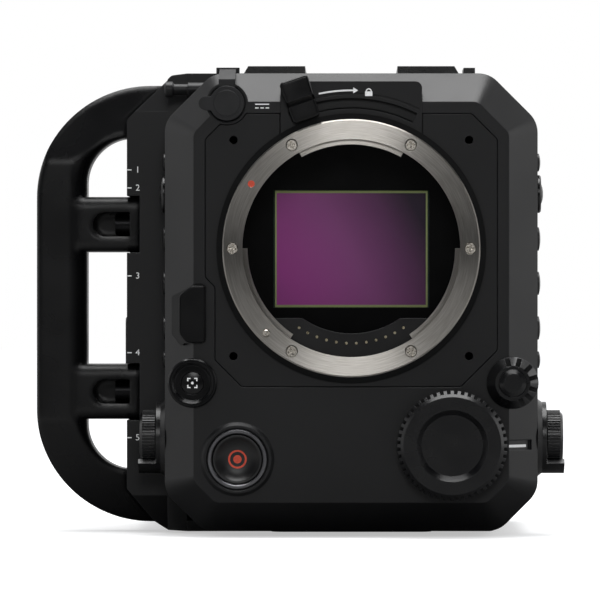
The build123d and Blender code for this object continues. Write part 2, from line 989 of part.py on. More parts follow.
with BuildPart() as contact_pins:
    with BuildSketch(facing(contact_depth - contact_pin_proud)):
        with Locations(*pin_places):
            Circle(contact_pin_radius)
    extrude(amount=-(contact_thickness + contact_pin_proud))
contact_pins.part.label = "contact_pins"
export_step(contact_pins.part, "parts/contact_pins.step")

# The lever stands on the plate at the left end of its track
lever_back = face_depth - running_gap
lever_radial = lever_angle - 90

with BuildPart() as lock_lever:
    lever_face = lever_back - lever_base_height
    pad_face = lever_back - lever_pad_height
    with BuildSketch(Plane.YZ):
        with BuildLine():
            Polyline(
                (lever_back, lever_inner_radius),
                (lever_face, lever_inner_radius),
                (lever_face, lever_step_radius),
                (pad_face, lever_step_radius + lever_pad_slope),
                (pad_face, lever_outer_radius),
                (lever_back, lever_outer_radius),
                close=True,
            )
        make_face()
    extrude(amount=lever_width / 2, both=True)
    with BuildSketch(facing(lever_back)):
        with BuildLine():
            Polyline(
                (-lever_width / 2 * lever_taper, lever_inner_radius),
                (lever_width / 2 * lever_taper, lever_inner_radius),
                (lever_width / 2, lever_outer_radius),
                (-lever_width / 2, lever_outer_radius),
                close=True,
            )
        make_face()
    extrude(amount=lever_pad_height, mode=Mode.INTERSECT)
    upright = lock_lever.edges().filter_by(Axis.Y).group_by(Axis.Z)
    fillet(upright[0] + upright[-1], radius=lever_round)
    step_heights = (lever_step_radius, lever_step_radius + lever_pad_slope)
    front_edges = [
        edge
        for edge in lock_lever.edges()
        if edge.center().Y < lever_back - lever_edge / 2
        and abs(edge.tangent_at(0.5).Y) < 1 - same_size
        and not any(abs(edge.center().Z - height) < same_size for height in step_heights)
    ]
    fillet(front_edges, radius=lever_edge)
    # Foot that runs in the track
    extrude(
        arc_band(
            lever_back,
            lever_track_inner + running_gap,
            lever_track_outer - running_gap,
            90 - lever_foot_half_angle,
            2 * lever_foot_half_angle,
        ),
        amount=-(lever_track_depth),
    )
lock_lever_part = lock_lever.part.rotate(Axis.Y, -lever_radial)
lock_lever_part.label = "lock_lever"
export_step(lock_lever_part, "parts/lock_lever.step")

with BuildPart() as record_bezel:
    with BuildSketch(facing(face_depth - record_bezel_height)):
        with Locations((record_x, record_z)):
            Circle(record_bezel_radius)
            Circle(record_bezel_bore, mode=Mode.SUBTRACT)
    extrude(amount=-(record_bezel_height + face_wall))
    chamfer(record_bezel.edges().group_by(Axis.Y)[0], length=record_bezel_edge)
record_bezel.part.label = "record_bezel"
export_step(record_bezel.part, "parts/record_bezel.step")

with BuildPart() as record_button:
    with BuildSketch(turning(record_x, record_z)):
        cap_front = face_depth - record_cap_height
        dish_radius = record_cap_radius * record_dish_share
        with BuildLine():
            dish = ThreePointArc(
                (0, cap_front + record_dish),
                (dish_radius / 2, cap_front + record_dish * 3 / 4),
                (dish_radius, cap_front),
            )
            Polyline(
                dish @ 1,
                (record_cap_radius, cap_front + record_bezel_edge),
                (record_cap_radius, cap_front + record_cap_length),
                (0, cap_front + record_cap_length),
                dish @ 0,
            )
        make_face()
    revolve(axis=lens_way(record_x, record_z))
record_button.part.label = "record_button"
export_step(record_button.part, "parts/record_button.step")

with BuildPart() as assign_collar:
    with BuildSketch(turning(assign_x, assign_z)):
        collar_front = face_depth - assign_collar_height
        hole_radius = assign_cap_radius + button_clearance
        with BuildLine():
            Polyline(
                (assign_collar_radius - assign_collar_edge, collar_front),
                (assign_dish_radius, collar_front),
                (assign_dish_bottom, collar_front + assign_dish_depth),
                (hole_radius, collar_front + assign_dish_depth),
                (hole_radius, face_depth),
                (assign_collar_radius, face_depth),
                (assign_collar_radius, collar_front + assign_collar_edge),
                close=True,
            )
        make_face()
    revolve(axis=lens_way(assign_x, assign_z))
assign_collar.part.label = "assign_collar"
export_step(assign_collar.part, "parts/assign_collar.step")


# A turned cap with a domed front, on an axis that runs front to back
def front_cap(x, z, radius, front, length, dome):
    with BuildPart() as cap:
        with BuildSketch(turning(x, z)):
            with BuildLine():
                crown = ThreePointArc(
                    (0, front), (radius * dome_share, front + dome * dome_drop), (radius, front + dome)
                )
                Polyline(crown @ 1, (radius, front + length), (0, front + length), crown @ 0)
            make_face()
        revolve(axis=lens_way(x, z))
    return cap.part


assign_button = front_cap(
    assign_x,
    assign_z,
    assign_cap_radius,
    face_depth - assign_cap_height,
    assign_cap_length,
    assign_cap_dome,
)
assign_button.label = "assign_button"
export_step(assign_button, "parts/assign_button.step")

selector_back = face_depth - running_gap
selector_front = selector_back - selector_height

with BuildPart() as selector_ring:
    with BuildSketch(turning(selector_x, selector_z)):
        with BuildLine():
            Polyline(
                (selector_bore, selector_front),
                (selector_top_radius, selector_front),
                (selector_radius, selector_back - selector_rim_height),
                (selector_radius, selector_back),
                (selector_bore, selector_back),
                close=True,
            )
        make_face()
    revolve(axis=lens_way(selector_x, selector_z))
    notch_length = 2 * (selector_radius - selector_notch_inner)
    with BuildSketch(facing(selector_front)):
        for angle in selector_notch_angles:
            away = around(selector_radius, angle)
            with Locations((selector_x + away[0], selector_z + away[1])):
                Rectangle(notch_length, selector_notch_width, rotation=angle)
    extrude(amount=-(selector_height - selector_notch_floor), mode=Mode.SUBTRACT)
selector_ring.part.label = "selector_ring"
export_step(selector_ring.part, "parts/selector_ring.step")

with BuildPart() as selector_button:
    knob_front = selector_back - selector_knob_height
    knob_radius = selector_bore - button_clearance
    with BuildSketch(turning(selector_x, selector_z)):
        with BuildLine():
            Polyline(
                (0, knob_front),
                (selector_knob_flat, knob_front),
                (knob_radius, knob_front + selector_knob_bevel),
                (knob_radius, selector_back - selector_knob_seat),
                (selector_stem_radius, selector_back - selector_knob_seat),
                (selector_stem_radius, cavity_front + stem_overhang),
                (0, cavity_front + stem_overhang),
                close=True,
            )
        make_face()
    revolve(axis=lens_way(selector_x, selector_z))
selector_button.part.label = "selector_button"
export_step(selector_button.part, "parts/selector_button.step")


# A ring of straight teeth about the sketch's own centre
def toothed_sketch(plane, tip_radius, root_radius, teeth):
    tooth_width = 2 * pi * tip_radius / teeth / 2
    with BuildSketch(plane) as teeth_sketch:
        Circle(root_radius)
        with PolarLocations((tip_radius + root_radius) / 2 - tooth_overlap, teeth):
            Rectangle(tip_radius - root_radius + 2 * tooth_overlap, tooth_width)
    return teeth_sketch.sketch


dial_back = face_depth - running_gap
dial_front = dial_back - dial_height

with BuildPart() as front_dial:
    extrude(
        toothed_sketch(
            Plane(origin=(dial_x, dial_back, dial_z), x_dir=(1, 0, 0), z_dir=(0, -1, 0)),
            dial_tip_radius,
            dial_root_radius,
            dial_teeth,
        ),
        amount=dial_height,
    )
    # One bevel from the flat face out over the teeth
    with BuildSketch(turning(dial_x, dial_z)):
        bevel_slope = dial_bevel_depth / (dial_tip_radius - dial_face_radius)
        bevel_end = dial_tip_radius + running_gap
        with BuildLine():
            Polyline(
                (dial_face_radius, dial_front),
                (bevel_end, dial_front),
                (bevel_end, dial_front + bevel_slope * (bevel_end - dial_face_radius)),
                close=True,
            )
        make_face()
    revolve(axis=lens_way(dial_x, dial_z), mode=Mode.SUBTRACT)
    with BuildSketch(turning(dial_x, dial_z)):
        with BuildLine():
            Polyline(
                (0, dial_front),
                (dial_recess_radius, dial_front),
                (dial_floor_radius, dial_front + dial_recess_depth),
                (0, dial_front + dial_recess_depth),
                close=True,
            )
        make_face()
    revolve(axis=lens_way(dial_x, dial_z), mode=Mode.SUBTRACT)
    extrude(disc(dial_back, dial_x, dial_z, dial_shaft_radius), amount=-(face_wall + stem_overhang))
front_dial.part.label = "front_dial"
export_step(front_dial.part, "parts/front_dial.step")


# A round side button with a domed cap
def side_button(side, height, radius):
    outer_x = block_half_width + side_button_height
    with BuildPart() as button:
        with BuildSketch(side_turning(side, side_depth, height)):
            with BuildLine():
                crown = ThreePointArc(
                    (0, outer_x),
                    (radius * dome_share, outer_x - side_button_dome * dome_drop),
                    (radius, outer_x - side_button_dome),
                )
                Polyline(
                    crown @ 1,
                    (radius, outer_x - side_button_length),
                    (0, outer_x - side_button_length),
                    crown @ 0,
                )
            make_face()
        revolve(axis=side_way(side_depth, height))
    return button.part


# The jog disc, a flat ring with a dome at its middle
def side_jog(side):
    face_x = block_half_width + running_gap
    with BuildPart() as jog:
        with BuildSketch(side_turning(side, side_depth, jog_z)):
            with BuildLine():
                dome = ThreePointArc(
                    (0, block_half_width + jog_dome_height),
                    (jog_dome_radius * jog_dome_share, block_half_width + jog_dome_height - jog_dome_drop),
                    (jog_dome_radius, block_half_width + jog_height - jog_dome_drop),
                )
                Polyline(
                    dome @ 1,
                    (jog_dome_radius + jog_edge, block_half_width + jog_height),
                    (jog_radius - jog_edge, block_half_width + jog_height),
                    (jog_radius, block_half_width + jog_height - jog_edge),
                    (jog_radius, face_x),
                    (jog_shaft_radius, face_x),
                    (jog_shaft_radius, side_shaft_end),
                    (0, side_shaft_end),
                    dome @ 0,
                )
            make_face()
        revolve(axis=side_way(side_depth, jog_z))
    return jog.part


# The knurled side wheel with straight ribs and a bevelled outer edge
def side_wheel(side):
    inner_x = wheel_inner_x + running_gap
    with BuildPart() as wheel:
        plane = Plane(
            origin=(side * inner_x, side_depth, wheel_z), x_dir=(0, 1, 0), z_dir=(side, 0, 0)
        )
        extrude(
            toothed_sketch(plane, wheel_radius, wheel_radius - wheel_tooth_depth, wheel_teeth),
            amount=wheel_outer_x - inner_x - wheel_edge_bevel,
        )
        with BuildSketch(side_turning(side, side_depth, wheel_z)):
            with BuildLine():
                Polyline(
                    (0, wheel_outer_x),
                    (wheel_radius - wheel_tooth_depth - wheel_edge_bevel, wheel_outer_x),
                    (wheel_radius - wheel_tooth_depth, wheel_outer_x - wheel_edge_bevel),
                    (0, wheel_outer_x - wheel_edge_bevel),
                    close=True,
                )
            make_face()
        revolve(axis=side_way(side_depth, wheel_z))
        with BuildSketch(side_turning(side, side_depth, wheel_z)):
            with BuildLine():
                Polyline(
                    (0, inner_x),
                    (wheel_shaft_radius, inner_x),
                    (wheel_shaft_radius, side_shaft_end),
                    (0, side_shaft_end),
                    close=True,
                )
            make_face()
        revolve(axis=side_way(side_depth, wheel_z))
    return wheel.part


# The wheel's collar, with a cradle under the wheel that guards it
def wheel_guard(side):
    seat = (side_depth, wheel_z)
    with BuildPart() as guard:
        with BuildSketch(side_turning(side, side_depth, wheel_z)):
            with BuildLine():
                Polyline(
                    (wheel_shaft_radius + shaft_clearance, block_half_width),
                    (collar_radius + collar_foot, block_half_width),
                    (collar_radius, block_half_width + collar_foot_height),
                    (collar_radius, wheel_inner_x),
                    (wheel_shaft_radius + shaft_clearance, wheel_inner_x),
                    close=True,
                )
            make_face()
        revolve(axis=side_way(side_depth, wheel_z))
        with BuildSketch(Plane.YZ.offset(side * wheel_inner_x)):
            with BuildLine():
                outer = CenterArc(seat, collar_radius, cradle_start, cradle_sweep)
                inner = CenterArc(seat, cradle_radius, cradle_start, cradle_sweep)
                Line(outer @ 0, inner @ 0)
                Line(outer @ 1, inner @ 1)
            make_face()
        extrude(amount=side * (cradle_outer_x - wheel_inner_x))
    return guard.part


for side, side_name in ((-1, "left"), (1, "right")):
    for number, (height, radius) in enumerate(zip(side_button_heights, side_button_radii), start=1):
        button = side_button(side, height, radius)
        button.label = f"{side_name}_button_{number}"
        export_step(button, f"parts/{side_name}_button_{number}.step")
    jog = side_jog(side)
    jog.label = f"{side_name}_jog_disc"
    export_step(jog, f"parts/{side_name}_jog_disc.step")
    wheel = side_wheel(side)
    wheel.label = f"{side_name}_wheel"
    export_step(wheel, f"parts/{side_name}_wheel.step")

wheel_guards = Compound(label="wheel_guards", children=[wheel_guard(-1), wheel_guard(1)])
export_step(wheel_guards, "parts/wheel_guards.step")

with BuildPart() as tape_hook:
    with BuildSketch(side_turning(-1, sensor_depth, hook_z)):
        with BuildLine():
            Polyline(
                (0, hook_knob_x),
                (hook_knob_radius - hook_edge, hook_knob_x),
                (hook_knob_radius, hook_knob_x - hook_edge),
                (hook_knob_radius, hook_knob_x - hook_knob_length),
                (hook_shaft_radius, hook_knob_x - hook_knob_length - hook_edge),
                (hook_shaft_radius, hook_collar_x),
                (hook_collar_radius, hook_collar_x),
                (hook_collar_radius, hook_root_x),
                (0, hook_root_x),
                close=True,
            )
        make_face()
    revolve(axis=side_way(sensor_depth, hook_z))
tape_hook.part.label = "tape_hook"
export_step(tape_hook.part, "parts/tape_hook.step")

# Socket shells behind the outlet cap and the port cover
port_x = (cover_pocket_left + cover_pocket_right) / 2
port_z = (cover_top + cover_bottom) / 2
with BuildPart() as front_sockets:
    with BuildSketch(facing(face_depth + outlet_recess_depth)):
        with Locations((outlet_x, outlet_z)):
            Circle(outlet_bore)
            Circle(outlet_bore - outlet_socket_wall, mode=Mode.SUBTRACT)
    extrude(amount=-outlet_socket_length)
    with BuildSketch(facing(face_depth + outlet_recess_depth + outlet_socket_length / 2)):
        with Locations((outlet_x, outlet_z)):
            Circle(outlet_bore)
    extrude(amount=-outlet_socket_length / 2)
    with BuildSketch(facing(bevel_back - port_socket_lift)):
        with Locations((port_x, port_z)):
            SlotOverall(
                cover_top - cover_bottom - 2 * cover_pocket_margin,
                cover_pocket_right - cover_pocket_left,
                rotation=90,
            )
    extrude(amount=-port_socket_depth)
    with BuildSketch(facing(bevel_back - port_socket_lift)):
        with Locations((port_x, port_z)):
            SlotOverall(port_slot_length, port_slot_width, rotation=90)
    extrude(amount=-port_slot_depth, mode=Mode.SUBTRACT)
front_sockets.part.label = "front_sockets"
export_step(front_sockets.part, "parts/front_sockets.step")

# Outlet cap with its pull tab and the strap that runs up over the bevel
cap_back = face_depth - running_gap
cap_front_y = cap_back - cap_thickness
with BuildPart() as outlet_cap:
    with BuildSketch(facing(cap_back)):
        with Locations((outlet_x, outlet_z)):
            Circle(cap_radius)
        with Locations((outlet_x - cap_tab_length / 2, outlet_z)):
            SlotOverall(cap_tab_length, cap_tab_width)
    extrude(amount=cap_thickness)
    extrude(disc(cap_front_y, outlet_x, outlet_z, cap_step_radius), amount=cap_step_height)
    with BuildSketch(Plane.YZ.offset(outlet_x)):
        lift = strap_thickness + running_gap
        bend = outlet_z + outlet_boss_radius
        with BuildLine():
            Polyline(
                (cap_back, outlet_z),
                (cap_back, bend + running_gap / 2),
                (bevel_back - running_gap / 2, block_top + running_gap),
                (strap_anchor_depth, block_top + running_gap),
                (strap_anchor_depth, block_top + lift),
                (bevel_back - running_gap, block_top + lift),
                (cap_back - strap_thickness, bend + strap_thickness),
                (cap_back - strap_thickness, outlet_z),
                close=True,
            )
        make_face()
    extrude(amount=strap_width / 2, both=True)
outlet_cap.part.label = "outlet_cap"
export_step(outlet_cap.part, "parts/outlet_cap.step")

with BuildPart() as strap_anchor:
    with BuildSketch(Plane.XY.offset(block_top)):
        with Locations((outlet_x, strap_anchor_depth + running_gap + anchor_depth / 2)):
            RectangleRounded(anchor_width, anchor_depth, anchor_corner)
    extrude(amount=anchor_height)
strap_anchor.part.label = "strap_anchor"
export_step(strap_anchor.part, "parts/strap_anchor.step")

# Port cover that follows the face and the left bevel
bevel_length = hypot(face_inset, bevel_depth)
bevel_step = (-face_inset / bevel_length, bevel_depth / bevel_length)
bevel_out = (-bevel_depth / bevel_length, -face_inset / bevel_length)
bevel_turn = atan2(bevel_depth, face_inset)
def on_bevel(along, lift):
    return (
        -face_half_width + bevel_step[0] * along + bevel_out[0] * lift,
        face_depth + bevel_step[1] * along + bevel_out[1] * lift,
    )


cover_seat = running_gap / 2


# One layer of the cover: an even sheet bent over the edge of the bevel, then
# trimmed to its outline as seen from the front
def cover_layer(left, right, top, bottom, thickness):
    reach = bevel_length * (-face_half_width - left) / face_inset
    lift = cover_seat + thickness
    mitre = tan(bevel_turn / 2)
    with BuildPart() as layer:
        with BuildSketch(Plane.XY.offset(bottom)):
            with BuildLine():
                Polyline(
                    (right, face_depth - cover_seat),
                    (-face_half_width - mitre * cover_seat, face_depth - cover_seat),
                    on_bevel(reach, cover_seat),
                    on_bevel(reach, lift),
                    (-face_half_width - mitre * lift, face_depth - lift),
                    (right, face_depth - lift),
                    close=True,
                )
            make_face()
        extrude(amount=top - bottom)
        with BuildSketch(facing(-bevel_depth)):
            with BuildLine():
                FilletPolyline(
                    (right, top - cover_hinge_corner),
                    (right - cover_hinge_corner, top),
                    (right - cover_slant_start, top),
                    (left, top - cover_slant_height),
                    (left, bottom + cover_corner),
                    (left + cover_corner, bottom),
                    (right - cover_hinge_corner, bottom),
                    (right, bottom + cover_hinge_corner),
                    radius=cover_round / 2,
                    close=True,
                )
            make_face()
        extrude(amount=-3 * bevel_depth, mode=Mode.INTERSECT)
    return layer.part


with BuildPart() as port_cover:
    add(cover_layer(cover_left, cover_right, cover_top, cover_bottom, cover_thickness))
    add(
        cover_layer(
            cover_left + cover_pad_margin,
            cover_right - cover_pad_hinge_margin,
            cover_top - cover_pad_top_margin,
            cover_bottom + cover_pad_bottom_margin,
            cover_thickness + cover_pad_rise,
        )
    )
    # Pull tab at the lower left corner, on the bevel
    tab_along = bevel_length * (-face_half_width - cover_left - cover_tab_right) / face_inset
    tab_place = on_bevel(tab_along, cover_seat)
    with BuildSketch(
        Plane(
            origin=(tab_place[0], tab_place[1], cover_bottom + cover_tab_up),
            x_dir=(bevel_step[0], bevel_step[1], 0),
            z_dir=(bevel_out[0], bevel_out[1], 0),
        )
    ):
        SlotOverall(cover_tab_length, cover_tab_width, rotation=cover_tab_lean)
    extrude(amount=cover_thickness)
port_cover.part.label = "port_cover"
export_step(port_cover.part, "parts/port_cover.step")

# Rear body, a shell with the same cut corners on its right side
with BuildSketch(facing(block_back)) as rear_outline:
    with BuildLine():
        FilletPolyline(
            (rear_seam_x, rear_top),
            (rear_right - block_corner_cut, rear_top),
            (rear_right, rear_top - block_corner_cut),
            (rear_right, rear_bottom + block_foot_cut),
            (rear_right - block_foot_cut, rear_bottom),
            (rear_seam_x, rear_bottom),
            radius=block_corner_round / 2,
        )
        Line((rear_seam_x, rear_bottom), (rear_seam_x, rear_top))
    make_face()
with BuildSketch(facing(block_back)) as rear_cavity:
    inner_cut = block_corner_cut - rear_wall * corner_offset
    inner_foot = block_foot_cut - rear_wall * corner_offset
    with BuildLine():
        Polyline(
            (rear_seam_x, rear_top - rear_wall),
            (rear_right - rear_wall - inner_cut, rear_top - rear_wall),
            (rear_right - rear_wall, rear_top - rear_wall - inner_cut),
            (rear_right - rear_wall, rear_bottom + rear_wall + inner_foot),
            (rear_right - rear_wall - inner_foot, rear_bottom + rear_wall),
            (rear_seam_x, rear_bottom + rear_wall),
            close=True,
        )
    make_face()

base_top = rear_bottom - base_proud + base_thickness
display_y = display_front + display_length / 2
display_z = (display_top + display_bottom) / 2
door_y = door_front + door_length / 2
board_posts = [
    (side * (board_half_width - board_post_inset), height)
    for side in (-1, 1)
    for height in (board_top - board_post_inset, board_bottom + board_post_inset)
]
top_threads = [
    (side * (pad_inner_x + pad_outer_x) / 2, pad_front + pad_length / 2 + step * top_thread_pitch)
    for side in (-1, 1)
    for step in (-1, 0, 1)
]
door_z = (door_top + door_bottom) / 2

with BuildPart() as rear_housing:
    extrude(rear_outline.sketch, amount=-(rear_back - block_back))
    extrude(
        rear_cavity.sketch, amount=-(rear_back - block_back - rear_wall), mode=Mode.SUBTRACT
    )
    # Pocket for the base plate and the threads above it
    with BuildSketch(Plane.XY.offset(rear_bottom)):
        with Locations((0, base_front + base_length / 2)):
            RectangleRounded(2 * base_half_width, base_length, base_corner)
    extrude(amount=base_top - rear_bottom, mode=Mode.SUBTRACT)
    # Bosses for the tripod threads, and posts for the main board
    with BuildSketch(Plane.XY.offset(base_top)):
        with Locations((0, tripod_small_y)):
            Circle(tripod_small_radius + thread_boss_wall)
        with Locations((0, tripod_large_y)):
            Circle(tripod_large_radius + thread_boss_wall)
    extrude(amount=thread_boss_height)
    with BuildSketch(Plane.XY.offset(rear_bottom)):
        with Locations((0, tripod_small_y)):
            Circle(tripod_small_radius)
        with Locations((0, tripod_large_y)):
            Circle(tripod_large_radius)
    extrude(amount=base_top - rear_bottom + thread_boss_height, mode=Mode.SUBTRACT)
    with BuildSketch(facing(rear_back - rear_wall)):
        with Locations(*board_posts):
            Circle(board_post_radius)
    extrude(amount=board_gap)
    # Threads under the top pads
    with BuildSketch(Plane.XY.offset(rear_top)):
        with Locations(*top_threads):
            Circle(top_thread_radius)
    extrude(amount=-rear_wall, mode=Mode.SUBTRACT)
    # Vent slots in the right wall
    with BuildSketch(Plane.YZ.offset(rear_right)):
        with Locations((fan_y, fan_z)):
            with GridLocations(vent_pitch, 1, vent_count, 1):
                SlotOverall(vent_length, vent_width, rotation=90)
    extrude(amount=-rear_wall, mode=Mode.SUBTRACT)
    # Frames of the display and the card door
    with BuildSketch(Plane.YZ.offset(rear_right)):
        with Locations((display_y, display_z)):
            Rectangle(display_length, display_top - display_bottom)
    extrude(amount=-(display_inset + display_thickness), mode=Mode.SUBTRACT)
    with BuildSketch(Plane.YZ.offset(rear_right)):
        with Locations((door_y, door_z)):
            RectangleRounded(door_length, door_top - door_bottom, door_corner)
    extrude(amount=-(door_thickness + running_gap), mode=Mode.SUBTRACT)
    with BuildSketch(Plane.YZ.offset(rear_right)):
        with Locations((door_y, door_z)):
            with GridLocations(slot_pitch, 1, 2, 1):
                Rectangle(slot_width, slot_height)
    extrude(amount=-rear_wall, mode=Mode.SUBTRACT)
rear_housing.part.label = "rear_housing"
export_step(rear_housing.part, "parts/rear_housing.step")

# Connector block down the left side, notched for the handle's arms
with BuildPart() as io_block:
    with BuildSketch(facing(block_back)):
        with BuildLine():
            FilletPolyline(
                (rear_seam_x, rear_top),
                (io_cut_inner_x + io_shoulder_width, rear_top - io_shoulder_drop),
                (io_cut_inner_x, io_cut_high),
                (io_left, io_cut_low),
                (io_left, io_foot_high),
                (io_foot_inner_x, io_foot_low),
                (io_foot_inner_x + io_heel_width, rear_bottom + io_heel_rise),
                (rear_seam_x, rear_bottom),
                radius=io_round,
            )
            Line((rear_seam_x, rear_bottom), (rear_seam_x, rear_top))
        make_face()
    extrude(amount=-(io_back - block_back))
    with BuildSketch(facing(block_back + rear_wall)):
        with BuildLine():
            Polyline(
                (rear_seam_x, rear_top - rear_wall),
                (io_cut_inner_x + rear_wall, io_cut_high - rear_wall / 2),
                (io_left + io_side_wall, io_cut_low - rear_wall / 2),
                (io_left + io_side_wall, io_foot_high + rear_wall / 2),
                (io_foot_inner_x + rear_wall, io_foot_low + rear_wall),
                (rear_seam_x, rear_bottom + rear_wall),
                close=True,
            )
        make_face()
    extrude(amount=-(io_back - block_back - 2 * rear_wall), mode=Mode.SUBTRACT)
    # Front face leans back at its top and its foot
    with BuildSketch(Plane.YZ.offset(io_left - trim_over)):
        with BuildLine():
            Polyline(
                (block_back - trim_over, io_bevel_start_top),
                (block_back, io_bevel_start_top),
                (block_back + io_bevel_back, rear_top + trim_over),
                (block_back - trim_over, rear_top + trim_over),
                close=True,
            )
        make_face()
        with BuildLine():
            Polyline(
                (block_back - trim_over, io_bevel_start_bottom),
                (block_back, io_bevel_start_bottom),
                (block_back + io_bevel_back, rear_bottom - trim_over),
                (block_back - trim_over, rear_bottom - trim_over),
                close=True,
            )
        make_face()
    extrude(amount=io_overhang + trim_over, mode=Mode.SUBTRACT)
    # Notches for the arms, open to the front and the left
    for height in arm_heights:
        with BuildSketch(facing(block_back)):
            with Locations(((io_left + arm_end_x) / 2, height)):
                Rectangle(arm_end_x - io_left, arm_height + 2 * seam_gap)
        extrude(amount=-(handle_front + handle_depth - block_back), mode=Mode.SUBTRACT)
        with BuildSketch(Plane.YZ.offset(arm_end_x)):
            with Locations((handle_front + arm_slot_depth / 2, height)):
                Circle(handle_screw_shank)
        extrude(amount=arm_tap_depth, mode=Mode.SUBTRACT)
    # Openings for the sockets in the left face
    with BuildSketch(Plane.YZ.offset(io_left)):
        with Locations(*[(port_depth, height) for height in jack_heights]):
            Circle(jack_radius)
        with Locations((port_depth, ethernet_z)):
            Rectangle(ethernet_width, ethernet_height)
        with Locations((port_depth, usb_z)):
            SlotOverall(usb_width + usb_shell, usb_height + usb_shell, rotation=90)
    extrude(amount=io_side_wall + rear_wall, mode=Mode.SUBTRACT)
io_block.part.label = "io_block"
export_step(io_block.part, "parts/io_block.step")

with BuildPart() as io_sockets:
    with BuildSketch(Plane.YZ.offset(io_left)):
        with Locations(*[(port_depth, height) for height in jack_heights]):
            Circle(jack_radius)
            Circle(jack_bore, mode=Mode.SUBTRACT)
        with Locations((port_depth, ethernet_z)):
            Rectangle(ethernet_width, ethernet_height)
            Rectangle(ethernet_plug_width, ethernet_plug_height, mode=Mode.SUBTRACT)
        with Locations((port_depth, usb_z)):
            SlotOverall(usb_width + usb_shell, usb_height + usb_shell, rotation=90)
            SlotOverall(usb_width, usb_height, rotation=90, mode=Mode.SUBTRACT)
    extrude(amount=socket_length - socket_floor)
    with BuildSketch(Plane.YZ.offset(io_left + socket_length - socket_floor)):
        with Locations(*[(port_depth, height) for height in jack_heights]):
            Circle(jack_radius)
        with Locations((port_depth, ethernet_z)):
            Rectangle(ethernet_width, ethernet_height)
        with Locations((port_depth, usb_z)):
            SlotOverall(usb_width + usb_shell, usb_height + usb_shell, rotation=90)
    extrude(amount=socket_floor)
io_sockets.part.label = "io_sockets"
export_step(io_sockets.part, "parts/io_sockets.step")

# Rubber cover over the network socket, hinged along its rear edge
with BuildPart() as io_cover:
    with BuildSketch(Plane.YZ.offset(io_left - running_gap)):
        with Locations((port_depth, ethernet_z)):
            RectangleRounded(
                ethernet_width + 2 * io_cover_margin, ethernet_height + 2 * io_cover_margin, io_cover_corner
            )
    extrude(amount=-io_cover_thickness)
    chamfer(io_cover.faces().sort_by(Axis.X)[0].edges(), length=io_cover_edge)
io_cover.part.label = "io_cover"
export_step(io_cover.part, "parts/io_cover.step")

# Side handle: one bar and two beams bent round the hand space
with BuildPart() as handle_frame:
    with BuildSketch(facing(handle_front)):
        with BuildLine():
            FilletPolyline(
                (io_cut_inner_x, handle_top),
                (handle_outer_x, handle_top),
                (handle_outer_x, handle_bottom),
                (io_foot_inner_x, handle_bottom),
                radius=handle_outer_round,
            )
            FilletPolyline(
                (io_foot_inner_x, handle_bottom + handle_beam),
                (handle_inner_x, handle_bottom + handle_beam),
                (handle_inner_x, handle_top - handle_beam),
                (io_cut_inner_x, handle_top - handle_beam),
                radius=handle_inner_round,
            )
            Line((io_cut_inner_x, handle_top), (io_cut_inner_x, handle_top - handle_beam))
            Line((io_foot_inner_x, handle_bottom), (io_foot_inner_x, handle_bottom + handle_beam))
        make_face()
    extrude(amount=-handle_depth)
    rims = [
        edge
        for face in (handle_frame.faces().sort_by(Axis.Y)[0], handle_frame.faces().sort_by(Axis.Y)[-1])
        for edge in face.edges()
        if abs(edge.length - handle_beam) > same_size
    ]
    hand_top = handle_top - handle_beam + same_size
    hand_bottom = handle_bottom + handle_beam - same_size
    hand_rims = [
        edge
        for edge in rims
        if hand_bottom < edge.center().Z < hand_top and edge.center().X > handle_inner_x - same_size
    ]
    # Deep round where the hand closes, a fine one outside
    fillet(hand_rims, radius=handle_grip_round)
    fillet([edge for edge in rims if edge not in hand_rims], radius=handle_edge_round)
    # The front leans back along both beams
    lean_top = (handle_top - handle_slope_top) / handle_slope_back
    lean_bottom = (handle_slope_bottom - handle_bottom) / handle_slope_back
    with BuildSketch(Plane.YZ.offset(handle_outer_x - trim_over)):
        with BuildLine():
            Polyline(
                (handle_front - 1, handle_slope_top - lean_top),
                (handle_front + handle_slope_back + 1, handle_top + lean_top),
                (handle_front - 1, handle_top + lean_top),
                close=True,
            )
        make_face()
        with BuildLine():
            Polyline(
                (handle_front - 1, handle_slope_bottom + lean_bottom),
                (handle_front + handle_slope_back + 1, handle_bottom - lean_bottom),
                (handle_front - 1, handle_bottom - lean_bottom),
                close=True,
            )
        make_face()
    extrude(amount=io_cut_inner_x - handle_outer_x + trim_reach, mode=Mode.SUBTRACT)
handle_bar = handle_frame.part

with BuildPart() as handle_arms:
    for height in arm_heights:
        with BuildSketch(Plane.YZ.offset(handle_inner_x - arm_root)):
            with Locations((handle_front + handle_depth / 2, height)):
                RectangleRounded(handle_depth, arm_height, arm_round)
        extrude(amount=arm_end_x - handle_inner_x + arm_root)

